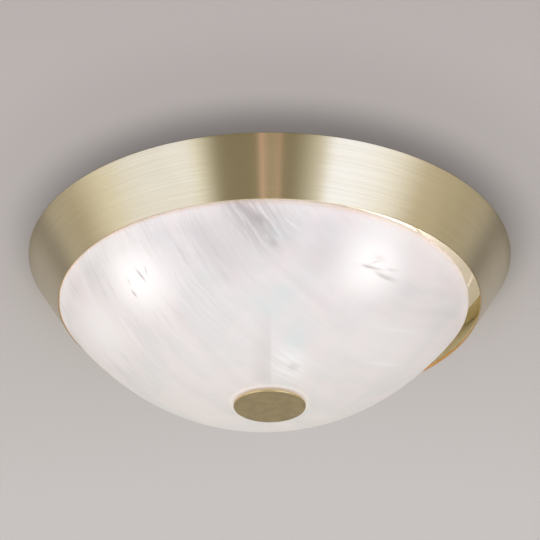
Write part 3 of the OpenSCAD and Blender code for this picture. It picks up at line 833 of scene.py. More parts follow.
        # Fine streaks show to the left and in the upper middle, and fade towards the lower right
        zone = add_node(tree, "Math", {0: down, 1: 1.2, 2: across}, operation="MULTIPLY_ADD")
        zone = add_node(tree, "MapRange", {0: zone, 1: 0.05, 2: -0.07, 3: 0.1}, **SOFT)
        for pattern, start, end, most, tint in (
            (streak, 0.48, 0.66, 0.22, "#F4EEEC"), (streak, 0.46, 0.30, 0.14, "#D2CBC9"),
            (hair, 0.50, 0.62, 0.27, "#FBF6F4"), (hair, 0.44, 0.33, 0.22, "#C6BEBC"),
        ):
            share = add_node(tree, "MapRange", {0: pattern, 1: start, 2: end, 4: most}, **SOFT)
            if pattern is hair:
                share = add_node(tree, "Math", {0: share, 1: zone}, operation="MULTIPLY")
            colour = add_node(tree, "Mix", {0: share, 6: colour, 7: to_linear(tint)}, **RGBA)
        for mark in self.clouds:
            colour = mark.over(tree, drawn, hair, colour)
        # The rod's shadow is soft on its left and sharp on its right
        shadow: object = 0.28
        for value, start, end in (
            (across, -0.020, -0.004), (across, 0.0024, -0.0004), (down, 0.024, 0.062), (down, 0.100, 0.090),
        ):
            edge = add_node(tree, "MapRange", {0: value, 1: start, 2: end}, **SOFT)
            shadow = add_node(tree, "Math", {0: shadow, 1: edge}, operation="MULTIPLY")
        colour = add_node(tree, "Mix", {0: shadow, 6: colour, 7: to_linear("#C9C1BE")}, **RGBA)
        # Painted glows: emission round fixed places near the lamps, at most 0.15 more
        painted_glow: object = 0.0
        for glow in self.glows:
            middle = tuple(c * MM for c in glow)
            apart = add_node(tree, "VectorMath", {0: place, 1: middle}, operation="DISTANCE")
            near = add_node(tree, "MapRange", {0: apart, 1: 0.051, 2: 0.002}, **SOFT)
            painted_glow = add_node(tree, "Math", {0: painted_glow, 1: near}, operation="MAXIMUM")
        # Painted glow: the colour turns white towards each glow's middle
        painted_glow_white = add_node(tree, "Math", {0: painted_glow, 1: 0.9}, operation="MULTIPLY")
        colour = add_node(tree, "Mix", {0: painted_glow_white, 6: colour, 7: to_linear("#FFFAF6")}, **RGBA)
        for fold in self.folds:
            colour = fold.over(tree, drawn, hair, colour)
        # Painted glow: an even emission of 0.10 over the glass, rising to 0.20 towards its upper edge
        light = add_node(tree, "MapRange", {0: height, 1: -0.056, 2: -0.044, 3: 0.10, 4: 0.20}, **SOFT)
        # Painted glow: more emission in a ring over the disc's seat and at the lip behind the skirt
        seat = add_node(tree, "VectorMath", {0: place, 1: (0, 0, -0.132)}, operation="DISTANCE")
        for value, start, end, most in ((seat, 0.036, 0.030, 0.22), (height, -0.0448, -0.0425, 0.2)):
            lit = add_node(tree, "MapRange", {0: value, 1: start, 2: end, 4: most}, **SOFT)
            light = add_node(tree, "Math", {0: light, 1: lit}, operation="ADD")
        wash = add_node(tree, "TexNoise", {
            "Vector": place, "Scale": 1 / (self.grain_mm * MM), "Detail": 3.0,
        })
        return {
            "Base Color": colour, "Emission Color": colour,
            "Emission Strength": add_node(tree, "Math", {
                0: painted_glow, 1: 0.15, 2: light,
            }, operation="MULTIPLY_ADD"),
            "Normal": add_node(tree, "Bump", {"Distance": self.bump_mm * MM, "Height": wash}),
        }

    def shells(
        self, tree: bpy.types.NodeTree, place: bpy.types.NodeSocket, down: bpy.types.Node,
        drawn: bpy.types.Node,
    ) -> bpy.types.Node:
        """Bends the drawing plane round the axis of the streaks.

        One unit of a streak's noise is 9 mm across it, and about 120 mm along it.

        Args:
            tree: the glass's node tree.
            place: places in the glass.
            down: how far down the drawing plane they are.
            drawn: places on the drawing plane.

        Returns:
            The node that gives places across, along and through the streaks.
        """
        centre = (self.axis[0] * MM, self.axis[1] * MM, 0)
        away = add_node(tree, "VectorMath", {0: drawn, 1: centre}, operation="SUBTRACT")
        reach = add_node(tree, "VectorMath", {0: away}, operation="LENGTH")
        right, below, _ = add_node(tree, "SeparateXYZ", {0: away}).outputs
        bearing = add_node(tree, "Math", {0: below, 1: right}, operation="ARCTAN2")
        warp = add_node(tree, "TexNoise", {"Vector": place, "Scale": 1 / (60 * MM), "Detail": 3.0})
        bent = add_node(tree, "Math", {0: warp, 1: 0.012, 2: reach}, operation="MULTIPLY_ADD")
        parts = [
            add_node(tree, "Math", {0: value, 1: times}, operation="MULTIPLY")
            for value, times in ((bent, 9.0), (bearing, 0.17), (down, 0.6))
        ]
        return add_node(tree, "CombineXYZ", dict(enumerate(parts)))


@dataclass(frozen=True)
class FrostedLamp(Finish):
    """Soda-lime lamp glass, etched inside, with the filament's light spread over the globe.

    Args:
        middle_mm: length run along the glass to the middle of the globe.
    """

    middle_mm: float = 72.0

    def sockets(self, tree: bpy.types.NodeTree, surface: bpy.types.Node) -> dict:
        """Builds a glow that is strongest round the middle of the globe, by the length run along it.

        Args:
            tree: the material's node tree.
            surface: its texture coordinates.

        Returns:
            Sockets of the shader, each with what feeds it.
        """
        along = add_node(tree, "SeparateXYZ", {0: surface.outputs["UV"]})
        far = add_node(tree, "Math", {0: along, 1: self.middle_mm * MM}, operation="SUBTRACT")
        far = add_node(tree, "Math", {0: far}, operation="ABSOLUTE")
        share = add_node(tree, "MapRange", {0: far, 1: 0.0, 2: 0.05}, **SOFT)
        tints = {6: to_linear("#FFF9EC"), 7: to_linear("#FFEBCB")}
        etch = add_node(tree, "TexNoise", {
            "Vector": surface.outputs["Object"], "Scale": 1 / (self.grain_mm * MM), "Detail": 3.0,
        })
        return {
            "Base Color": to_linear(self.colour),
            "Emission Color": add_node(tree, "Mix", {0: share} | tints, **RGBA),
            "Emission Strength": add_node(tree, "MapRange", {
                0: far, 1: 0.0, 2: 0.06, 3: 3.6, 4: 0.9,
            }, **SOFT),
            "Normal": add_node(tree, "Bump", {"Distance": self.bump_mm * MM, "Height": etch}),
        }


@dataclass(frozen=True)
class StripedSleeve(Finish):
    """Silicone sleeve for an earth lead: two stripes of each colour along it.

    Args:
        sleeve_mm: diameter of the sleeve.
    """

    sleeve_mm: float = 2.2

    def sockets(self, tree: bpy.types.NodeTree, surface: bpy.types.Node) -> dict:
        """Builds the stripes from the place round the sleeve.

        Args:
            tree: the material's node tree.
            surface: its texture coordinates.

        Returns:
            The one socket of the shader that isn't constant, with what feeds it.
        """
        around = add_node(tree, "SeparateXYZ", {0: surface.outputs["UV"]}).outputs[1]
        waves = TURN / (self.sleeve_mm * MM * math.pi / 2)
        wave = add_node(tree, "Math", {0: around, 1: waves}, operation="MULTIPLY")
        wave = add_node(tree, "Math", {0: wave}, operation="SINE")
        share = add_node(tree, "MapRange", {0: wave, 1: -0.12, 2: 0.12}, **SOFT)
        colours = {6: to_linear(self.colour), 7: to_linear(self.cloud)}
        return {"Base Color": add_node(tree, "Mix", {0: share} | colours, **RGBA)}


# A satin sheen that draws each reflection out into an upright band, with hairlines round the wall
SATIN_BRASS = BrushedBrass(
    "satin_brushed_brass_lacquered", "#DACFB0", "#D6CAA9", 1.0, 0.22, -0.008, 90.0, bump_mm=0.0003,
    extras=(("Coat Weight", 0.25), ("Coat Roughness", 0.25)),
)
# Softer and browner than the skirt, faintly mottled by its lacquer, with no turning marks left
DISC_BRASS = PlateBrass(
    "satin_lacquered_brass_plate", "#CEBE98", "#C2B290", 1.0, 0.34, 0.04, 9.0, 0.5, 0.002,
    extras=(("Coat Weight", 0.2), ("Coat Roughness", 0.3)),
)
# Golden, with the small bright facets of a turning tool
TURNED_BRASS = Finish("turned_brass_bar", "#D0B878", "#C4AA69", 1.0, 0.28, 0.06, 6.0, 0.3, 0.004)
# Milky and softly veined, pinkish and neutral by turns, with a silky gloss
ALABASTER = AlabasterGlass(
    "alabaster_effect_pressed_glass", "#EDE4E1", "#E5E1DE", 0.0, 0.42, patch_mm=42.0, grain_mm=0.5,
    ior=1.52,
)
# A fine orange peel that breaks the gloss
LACQUER = Finish("white_powder_coated_steel", "#F0EFEC", "#ECEBE7", 0.0, 0.42, 0.05, 60.0, 0.9, 0.02)
# Cool and bright, scuffed by the rivet gun
ALUMINIUM = Finish("bright_aluminium_rivet", "#D6D7D8", "#C9CACC", 1.0, 0.32, 0.08, 3.0, 0.25, 0.006)
# Matt and dusty
RUBBER = Finish("grey_rubber_moulded", "#6E6F70", "#666768", 0.0, 0.62, 0.06, 8.0, 0.4, 0.02)
# Grey-blue with the clouded bloom of a plating bath
ZINC_SHEET = Finish(
    "zinc_plated_sheet_steel", "#BFC2C4", "#AEB3B8", 1.0, 0.34, 0.08, 14.0, 0.6, 0.006
)
# The same plating on small turned parts, brighter and finer
ZINC_STEEL = Finish(
    "zinc_plated_steel_bright", "#C6C9CB", "#B7BBC0", 1.0, 0.26, 0.07, 3.0, 0.3, 0.004
)
# Dark grey and dull from its phosphate coat
SPRING_STEEL = Finish("spring_steel_phosphated", "#8C8E91", "#7D7F82", 1.0, 0.38, 0.08, 4.0, 0.4, 0.006)
# Waxy white that lets a little light in
SILICONE = Finish(
    "clear_white_silicone_rubber", "#E6E5E1", "#DEDDD8", 0.0, 0.55, 0.05, 9.0, 0.5, 0.01, 1.41,
    (("Subsurface Weight", 0.15), ("Subsurface Scale", 0.002)),
)
# A warm white body under a wet-looking glaze with slow waves
PORCELAIN = Finish(
    "glazed_electrical_porcelain", "#F2EFE7", "#EBE7DD", 0.0, 0.16, 0.03, 12.0, 1.5, 0.012, 1.5,
    (("Coat Weight", 0.6), ("Coat Roughness", 0.08)),
)
# Warm silver, polished by the rolls
NICKEL = Finish("nickel_plated_brass_rolled", "#CFC9BC", "#C2BBAC", 1.0, 0.24, 0.06, 4.0, 0.3, 0.004)
# The cream of undyed plastic with the fine texture of its mould
POLYAMIDE = Finish("natural_polyamide_moulded", "#E4E0D2", "#DCD7C7", 0.0, 0.42, 0.05, 8.0, 0.5, 0.01)
# Light silver with rolled, slightly scuffed crests
CAP_METAL = Finish("aluminium_lamp_cap_rolled", "#D9D9D6", "#CBCBC8", 1.0, 0.27, 0.06, 4.0, 0.3, 0.004)
# A warm glow with no filament to be seen in it
FROSTED = FrostedLamp("etched_lamp_glass_lit", "#F7F4EC", "#F7F4EC", 0.0, 0.5, grain_mm=0.3)
# Near-black and glassy, with brown-violet depths
VITRITE = Finish("black_vitrite_glass", "#1E1B1C", "#272324", 0.0, 0.14, 0.04, 3.0, 0.6, 0.01, 1.55)
# A dull silver drop with a frosted skin
SOLDER = Finish("tin_solder_domed", "#C9CBCD", "#B4B6B9", 1.0, 0.35, 0.1, 1.5, 0.3, 0.02)
# Water-clear with sharp glints
CLEAR = Finish(
    "clear_lead_glass_stem", "#F4F8F7", "#F0F5F4", 0.0, 0.03, 0.01, 6.0, 2.0, 0.001, 1.55,
    (("Transmission Weight", 0.95),),
)
# Dark grey metal dulled by heat
TUNGSTEN = Finish("tungsten_wire_drawn", "#8F8B86", "#7D7974", 1.0, 0.4, 0.08, 0.8, 0.1, 0.002)
# Satin colours with a slight bloom, as soft sleeves have
BROWN = Finish("brown_silicone_sleeve", "#6B4226", "#633B21", 0.0, 0.46, 0.05, 6.0, 0.4, 0.01, 1.43)
BLUE = Finish("blue_silicone_sleeve", "#2F62A8", "#2A599B", 0.0, 0.46, 0.05, 6.0, 0.4, 0.01, 1.43)
EARTH = StripedSleeve("green_yellow_silicone_sleeve", "#3E8A3C", "#E3D23A", 0.0, 0.46)

_made: dict[Finish, bpy.types.Material] = {}


def finished(finish: Finish) -> bpy.types.Material:
    """The one material of a finish, made when it is first needed."""
    if finish not in _made:
        _made[finish] = finish.material()
    return _made[finish]


def dress(finish: Finish, *nodes: str) -> None:
    """Gives CAD nodes that stay as they are their real material.

    Args:
        finish: the finish.
        nodes: the nodes' names.
    """
    for name in nodes:
        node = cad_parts[name]
        if not node.material_slots:
            node.data.materials.append(finished(finish))
        for place in node.material_slots:
            place.material = finished(finish)
        LOG.info("dressed %s in %s", name, finish.name)


def fit(
    shell: Shell, name: str, body: str, finish: Finish, nodes: tuple[str, ...],
    sharp: float,
) -> bpy.types.Object:
    """Puts a new piece on its body in place of CAD nodes.

    Args:
        shell: its surface.
        name: the piece's name.
        body: the CAD body that it rides on.
        finish: its finish.
        nodes: the CAD nodes that it stands for.
        sharp: angle in degrees above which its edges stay hard.

    Returns:
        The piece.
    """
    piece = shell.to_object(name, sharp)
    piece.data.materials.append(finished(finish))
    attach(piece, body)
    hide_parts(*nodes)
    LOG.info("made %s on %s: %d faces", name, body, len(piece.data.polygons))
    return piece


# Sub-assemblies


@dataclass(frozen=True)
class Skirt:
    """The spun skirt with its turned-in bead, its flange and its folded hem, and the plate behind it."""

    top_r: float = 210.0
    rim_r: float = 182.0
    height: float = 44.0
    sheet: float = 0.6
    hem: float = 5.0
    bead: float = 4.0
    flange: float = 13.0
    ease: float = 0.28

    def section(self) -> np.ndarray:
        """The closed section of the sheet: out along the ceiling, down the wall and folded back.

        The wall's direction is (top - rim, height) made one long, and the plies lie inside it by the
        sheet's thickness. The fold is half a circle of that radius.

        Returns:
            k x 2 of radius and height.
        """
        rim = np.array([self.rim_r, -self.height])
        up = np.array([self.top_r - self.rim_r, self.height])
        up = up / np.linalg.norm(up)
        inward = np.array([-up[1], up[0]])
        inside = rim + self.sheet * inward
        fold = rim + self.sheet * (up + inward)
        climb = (self.height - self.sheet - self.sheet * inward[1]) / up[1]
        hem_top = inside + self.hem * up
        turn = math.degrees(math.atan2(inward[1], inward[0]))
        bead_in = self.top_r - self.bead
        sharp_part = np.array([
            [self.top_r, 0], [bead_in, 0], [bead_in, PLATE_UNDER], [bead_in - self.flange, PLATE_UNDER],
            [bead_in - self.flange, PLATE_UNDER - self.sheet],
            [bead_in + self.sheet, PLATE_UNDER - self.sheet], [bead_in + self.sheet, -self.sheet],
            inside + climb * up, hem_top, hem_top + self.sheet * inward,
        ])
        fold_part = arc(tuple(fold), self.sheet, turn, turn + 180, 10)
        rounded = eased(np.vstack([sharp_part, fold_part]), self.ease, True, 3)
        long_wall = np.linspace(fold_part[-1], sharp_part[0], 22)[1:-1]
        return np.vstack([rounded[:-1], long_wall, rounded[:1]])

    def build(self) -> None:
        """Makes the skirt and dresses the plate, rivets and grommet."""
        fit(turned(self.section(), 384), "spun_skirt", "root", SATIN_BRASS,
            ("brass_skirt",), 40.0)
        dress(LACQUER, "back_plate")
        dress(ALUMINIUM, "skirt_rivets")
        dress(RUBBER, "cable_grommet")


@dataclass(frozen=True)
class Bowl:
    """The glass bowl, its seals, and the cup washer and nut above it."""

    radius: float = 176.0
    depth: float = 88.0
    rim_z: float = -44.0
    glass: float = 4.0
    collar: float = 6.0
    seat_r: float = 26.0
    hole_r: float = 12.5
    belly: float = 2.03
    edge: float = 1.05
    shift: float = -4.9

    def curve(self, r: float, depth: float) -> np.ndarray:
        """Half of the bowl's line, from its seat to its widest.

        The radius is seat + (r - seat) sin(a)^(2/belly) and the height rim - depth cos(a)^(2/edge).

        Args:
            r: radius at the rim.
            depth: depth below the rim.

        Returns:
            k x 2 of radius and height.
        """
        a = np.linspace(0, math.pi / 2, 91)
        out = self.seat_r + (r - self.seat_r) * np.sin(a) ** (2 / self.belly)
        return np.stack([out, self.rim_z - depth * np.abs(np.cos(a)) ** (2 / self.edge)], axis=1)

    def profile(self) -> np.ndarray:
        """The glass section: outside up, a fire-polished lip, inside down and the drilled hole."""
        half = self.glass / 2
        lip = arc((self.radius - half, self.rim_z + self.collar - half), half, 0, 180, 12)
        low, floor = self.rim_z - self.depth, self.rim_z - self.depth + self.glass
        hole = eased(
            np.array([[self.seat_r, floor], [self.hole_r, floor], [self.hole_r, low], [self.seat_r, low]]),
            0.6, False, 4,
        )
        inner = self.curve(self.radius - self.glass, self.depth - self.glass)[::-1]
        outer = self.curve(self.radius, self.depth)
        return np.vstack([outer, lip, inner, hole[1:]])

    def build(self) -> None:
        """Makes the bowl and dresses what clamps it."""
        shell = turned(self.profile(), 288, (self.shift, 0.0))
        fit(shell, "alabaster_bowl", "bowl", ALABASTER, ("glass_bowl",), 50.0)
        dress(SILICONE, "upper_seal", "lower_seal")
        dress(ZINC_STEEL, "cup_washer")


@dataclass(frozen=True)
class Finial:
    """The disc under the bowl with its hub."""

    radius: float = 30.5
    top: float = -134.0
    thick: float = 2.0
    edge_r: float = 0.9
    chamfer: float = 0.3

    def build(self) -> None:
        """Makes the disc, with its edge rounded as turning leaves it, and dresses the hub."""
        low = self.top - self.thick
        edge = self.edge_r
        rim = arc((self.radius - edge, low + edge), edge, -90, 20, 9)
        face = np.stack([np.linspace(0, self.radius - 1.2, 12), np.full(12, low)], axis=1)
        back = np.array([
            [self.radius, self.top - self.chamfer], [self.radius - self.chamfer, self.top], [0, self.top],
        ])
        fit(turned(np.vstack([face, rim, back]), 160), "finial_plate", "finial", DISC_BRASS,
            ("finial_disc",), 40.0)
        dress(TURNED_BRASS, "finial_hub")


@dataclass(frozen=True)
class RodStack:
    """The threaded rod, the nuts on it and the bracket that it hangs from."""

    low: float = -133.7
    high: float = -8.5
    radius: float = 5.0
    bore_r: float = 3.25
    pitch: float = 1.0
    thread: float = 0.6
    across: float = 14.0
    nut: float = 4.0
    nut_bore: float = 10.3
    nut_places: tuple[float, float] = (-14.5, -21.0)
    stop_nut: float = -124.8
    feet_r: float = 43.0

    def rod(self) -> Shell:
        """The rod: an outer line with 6 points to a pitch, and its bore."""
        z = np.arange(self.low, self.high, self.pitch / 6)
        outer = upright(self.radius, z)
        section = np.vstack([
            [[self.bore_r, self.low], [self.radius - 0.6, self.low]], outer[3:-3],
            [[self.radius - 0.6, self.high], [self.bore_r, self.high], [self.bore_r, self.low]],
        ])
        return screw_thread(section, self.pitch, self.thread, (self.low + 0.5, self.high - 0.5), 28)

    def build(self) -> None:
        """Makes the rod, nuts and screws, and dresses the bracket."""
        fit(self.rod(), "threaded_rod", "root", ZINC_STEEL, ("centre_rod",), 50.0)
        nuts = [hexagon_nut(self.across, self.nut_bore, z, z + self.nut) for z in self.nut_places]
        fit(Shell.joined(nuts), "rod_hex_nuts", "root", ZINC_STEEL, ("rod_nuts",), 25.0)
        stop = hexagon_nut(self.across, self.nut_bore, self.stop_nut, self.stop_nut + self.nut)
        fit(stop, "bowl_stop_hex_nut", "root", ZINC_STEEL, ("bowl_stop_nut",), 25.0)
        screw = Screw(4.0, 3.9, 8.0, 2.4).shell()
        places = [turn_z(LAMP_TURN + 60 + 120 * k, (self.feet_r, 0, -4.2)) for k in range(3)]
        fit(Shell.joined([screw.placed(m) for m in places]), "bracket_pan_screws", "root",
            ZINC_STEEL, ("bracket_screws",), 30.0)
        dress(ZINC_SHEET, "lamp_bracket")
        dress(SPRING_STEEL, "toothed_washer")


@dataclass(frozen=True)
class Holders:
    """The three porcelain lampholders with their screw shells, contacts and screws."""

    floor: float = 8.0
    length: float = 40.0
    shell_in: float = 13.3
    hole_r: float = 10.3
    sheet: float = 0.5
    tip_z: float = 13.0
    half_pitch: float = 11.0

    def shell(self) -> Shell:
        """The rolled shell: a cup whose wall carries the thread of the lamp's cap, 0.3 mm outside it."""
        z = np.arange(self.floor + 1.5, self.length - 2.6, THREAD_PITCH / 12)
        outer = upright(self.shell_in + self.sheet, z)
        inner = upright(self.shell_in, z)[::-1]
        top, base = self.length - 2, self.floor
        section = np.vstack([
            [[self.hole_r, base + self.sheet], [self.hole_r, base]],
            [[self.shell_in + self.sheet, base]], outer,
            [[self.shell_in + self.sheet, top], [self.shell_in, top]], inner,
            [[self.shell_in, base + self.sheet], [self.hole_r, base + self.sheet]],
        ])
        return screw_thread(section, THREAD_PITCH, THREAD_DEPTH, (base + 1.5, top - 0.6), 60, self.tip_z)

    def build(self) -> None:
        """Makes the shells and screws, and dresses the bodies and contacts."""
        for number in LAMPS:
            fit(self.shell().placed(lamp_frame(number)), f"holder_thread_{number}", "root", NICKEL,
                (f"screw_shell_{number}",), 50.0)
            dress(PORCELAIN, f"holder_body_{number}")
            dress(NICKEL, f"centre_contact_{number}")
        screw = Screw(4.0, 6.5, 8.0, 2.4).shell()
        shells = []
        for number in LAMPS:
            for side in (-1, 1):
                place = lamp_frame(number, -1.5)
                place[:3, 3] += place[:3, 1] * side * self.half_pitch
                shells.append(screw.placed(place))
        fit(Shell.joined(shells), "holder_pan_screws", "root", ZINC_STEEL,
            ("holder_screws",), 30.0)


@dataclass(frozen=True)
class Lamp:
    """One screw-in lamp: frosted glass, rolled cap, black glass insulator, stem and filament."""

    number: int
    wall: float = 0.8
    neck_r: float = 11.3
    waist_r: float = 12.35
    globe_r: float = 27.5
    globe_z: float = 69.5
    cap_r: float = 13.0
    cap_l: float = 27.0
    cap_base: float = 6.5
    cap_sheet: float = 0.5
    tip_z: float = 13.0

    def glass(self) -> Shell:
        """The bulb: a slim neck in the cap, half a cosine wave out to the globe, and the globe."""
        s = np.linspace(0, 1, 30)
        swell = np.stack([
            self.waist_r + (self.globe_r - self.waist_r) * (1 - np.cos(math.pi * s)) / 2,
            self.cap_l + s * (self.globe_z - self.cap_l),
        ], axis=1)
        neck = np.array([[self.neck_r, 17.2], [self.neck_r, 24.0]])
        globe = arc((0, self.globe_z), self.globe_r, 3, 90, 30)
        outer = np.vstack([neck, swell, globe])
        inner = outer[::-1] - [self.wall, 0]
        inner[:31, :] = arc((0, self.globe_z), self.globe_r - self.wall, 90, 3, 30)
        return turned(np.vstack([outer, inner, outer[:1]]), 96)

    def cap(self) -> Shell:
        """The cap: one sheet rolled into a thread, with a smooth collar at the glass."""
        base = self.cap_base
        z = np.arange(base + 1.8, self.cap_l - 0.4, THREAD_PITCH / 12)
        outer = upright(self.cap_r, z)
        inner = upright(self.cap_r - self.cap_sheet, z)[::-1]
        section = np.vstack([
            [[self.cap_r - 2, base + self.cap_sheet], [self.cap_r - 2, base]], outer,
            [[self.cap_r, self.cap_l], [self.cap_r - self.cap_sheet, self.cap_l]], inner,
            [[self.cap_r - 2, base + self.cap_sheet]],
        ])
        return screw_thread(section, THREAD_PITCH, THREAD_DEPTH, (base + 1.0, self.cap_l - 3.0), 60)

    def stem(self) -> Shell:
        """The pinched glass stem that carries the filament, on a flare melted to the neck."""
        line = np.array([
            [0, 6.8], [1.6, 6.8], [1.6, 15.0], [4.0, 17.0], [10.2, 17.4], [10.2, 18.2], [5.0, 21.0],
            [4.0, 35.0], [2.4, 39.0], [1.5, 52.0], [0, 52.0],
        ])
        return turned(eased(line, 1.2, False, 4), 40)

    def wires(self) -> Shell:
        """Two support wires and, between them, a coil: (8 s, cos, sin) with 22 turns."""
        parts = []
        for side in (-1, 1):
            top = (side * 9.2, 0.0, 63.2)
            parts.append(round_bar(np.linspace((side * 0.9, 0, 52.4), top, 5), 0.8, 8))
        s = np.linspace(-1, 1, 22 * 10)
        turn, coil_r = TURN * 11 * s, 0.65
        coil = np.stack([9.0 * s, coil_r * np.cos(turn), 63.8 + coil_r * np.sin(turn)], axis=1)
        parts.append(round_bar(coil, 0.3, 6))
        return Shell.joined(parts)

    def build(self) -> None:
        """Makes the lamp's pieces and dresses the rest."""
        number, body = self.number, f"lamp_{self.number}"
        place = lamp_frame(number, self.tip_z)
        for shell, piece, finish, slot, node, sharp in (
            (self.glass(), "frosted_bulb", FROSTED, "frosted_glass", "lamp_glass", 60.0),
            (self.cap(), "rolled_cap", CAP_METAL, "cap_aluminium", "lamp_cap", 50.0),
            (self.stem(), "glass_stem", CLEAR, "clear_glass", "lamp_stem", 60.0),
            (self.wires(), "coiled_filament", TUNGSTEN, "tungsten", "filament", 60.0),
        ):
            name, nodes = f"{piece}_{number}", (f"{node}_{number}",)
            fit(shell.placed(place), name, body, finish, nodes, sharp)
        dress(VITRITE, f"lamp_insulator_{number}")
        dress(SOLDER, f"lamp_tip_{number}")


@dataclass(frozen=True)
class Wiring:
    """The terminal block and the leads from it to the holders and the earth screw.

    A route's places are degrees on from where it starts, then millimetres outwards, sideways and up.
    """

    block_turn: float = 180.0
    block_r: float = 72.0
    screw_z: float = -12.2
    poles: tuple[float, ...] = (-11.0, 0.0, 11.0)
    clamps: tuple[float, ...] = (-5.0, 5.0)
    lead: float = 2.2
    live_link: Route = (
        (0, 36.5, 5, -28), (0, 36.5, 5, -17), (0, 41, 9, -12), (0, 46, 20, -11), (60, 47, 0, -11),
        (120, 46, -20, -11), (120, 41, -15, -12), (120, 36.5, -11, -17), (120, 36.5, -11, -28),
    )
    neutral_link: Route = (
        (0, 36.5, 11, -28), (0, 36.5, 11, -17), (0, 36, 16, -12), (0, 32, 22, -11), (60, 39, 0, -11),
        (120, 33, -20, -11), (120, 31.5, -11, -11), (120, 34, -6, -12), (120, 36.5, -5, -17),
        (120, 36.5, -5, -28),
    )
    live_feed: Route = (
        (0, 67, 11, -7.7), (0, 58, 11, -8), (0, 52, 15, -9), (60, 46, -22, -11), (60, 41, -15, -12),
        (60, 36.5, -11, -17), (60, 36.5, -11, -28),
    )
    neutral_feed: Route = (
        (0, 67, 0, -7.7), (0, 58, 0, -9), (0, 50, 2, -11), (0, 42, 9, -11), (60, 33, -20, -11),
        (60, 31.5, -11, -11), (60, 34, -6, -12), (60, 36.5, -5, -17), (60, 36.5, -5, -28),
    )
    earth_feed: Route = (
        (0, 67, -11, -7.7), (0, 58, -11, -8), (0, 52, -14, -8), (0, 49, -17, -6), (0, 50, -21.6, -5),
    )

    def sleeves(self, *leads: tuple[float, Route]) -> Shell:
        """Makes round sleeves.

        Args:
            leads: for each, the turn in degrees from the first lamp at which it starts, and its route.

        Returns:
            All of them in one shell.
        """
        lines = [[spot(start + on, *place) for on, *place in route] for start, route in leads]
        return Shell.joined([round_bar(smooth_path(np.array(line)), self.lead) for line in lines])

    def build(self) -> None:
        """Makes the leads and screws, and dresses the block and its barrels."""
        live = self.sleeves((180, self.live_feed), (240, self.live_link), (0, self.live_link))
        neutral = self.sleeves(
            (180, self.neutral_feed), (240, self.neutral_link), (0, self.neutral_link)
        )
        earth = self.sleeves((180, self.earth_feed))
        fit(live, "brown_leads", "root", BROWN, ("live_leads",), 60.0)
        fit(neutral, "blue_leads", "root", BLUE, ("neutral_leads",), 60.0)
        fit(earth, "striped_earth_lead", "root", EARTH, ("earth_lead",), 60.0)
        at_block = turn_z(LAMP_TURN + self.block_turn, (self.block_r, 0, 0))
        grub = Screw(3.0, 2.7, 3.8, 1.6, Drive.SLOT).shell()
        grubs = []
        for x in self.clamps:
            for y in self.poles:
                shift = np.eye(4)
                shift[:3, 3] = (x, y, self.screw_z)
                grubs.append(grub.placed(at_block @ shift))
        fit(Shell.joined(grubs), "terminal_slot_screws", "root", ZINC_STEEL,
            ("terminal_screws",), 30.0)
        dress(POLYAMIDE, "terminal_block")
        dress(NICKEL, "terminal_barrels")
        dress(ZINC_STEEL, "block_screw")
        dress(TURNED_BRASS, "earth_screw")


# Studio


@dataclass(frozen=True)
class SoftBox:
    """A light with soft edges, as a patch of the surroundings.

    Each edge is the two angles in degrees between which the patch comes in. An edge that isn't given is
    left open.

    Args:
        colour: sRGB colour.
        strength: radiance.
        rise: azimuths at its left side, where 0 is the camera's side and 90 is to the right.
        fall: azimuths at its right side, the full one first.
        low: heights above the horizon at its foot.
        high: heights at its top, the full one first.
        mirrored: whether it has a twin on the other side.
    """

    colour: str
    strength: float
    rise: tuple[float, float] | None = None
    fall: tuple[float, float] | None = None
    low: tuple[float, float] | None = None
    high: tuple[float, float] | None = None
    mirrored: bool = False

    def over(
        self, tree: bpy.types.NodeTree, azimuth: bpy.types.Node, height: bpy.types.NodeSocket,
        light: object,
    ) -> bpy.types.Node:
        """Lays the patch over the light of the surroundings.

        Its share of a direction is the product of its edges, each a smooth step of the azimuth or of the
        sine of the height.

        Args:
            tree: the world's node tree.
            azimuth: the direction's azimuth in radians.
            height: the sine of its height.
            light: what lies under it.

        Returns:
            The node that gives the new light.
        """
        turn = add_node(tree, "Math", {0: azimuth}, operation="ABSOLUTE") if self.mirrored else azimuth
        share: object = 1.0
        for value, measure, edge in (
            (turn, math.radians, self.rise), (turn, math.radians, self.fall and self.fall[::-1]),
            (height, sine, self.low), (height, sine, self.high and self.high[::-1]),
        ):
            if edge:
                step = add_node(tree, "MapRange", {
                    0: value, 1: measure(edge[0]), 2: measure(edge[1]),
                }, **SOFT)
                share = add_node(tree, "Math", {0: share, 1: step}, operation="MULTIPLY")
        shine = tuple(c * self.strength for c in to_linear(self.colour)[:3]) + (1.0,)
        return add_node(tree, "Mix", {0: share, 6: light, 7: shine}, **RGBA)


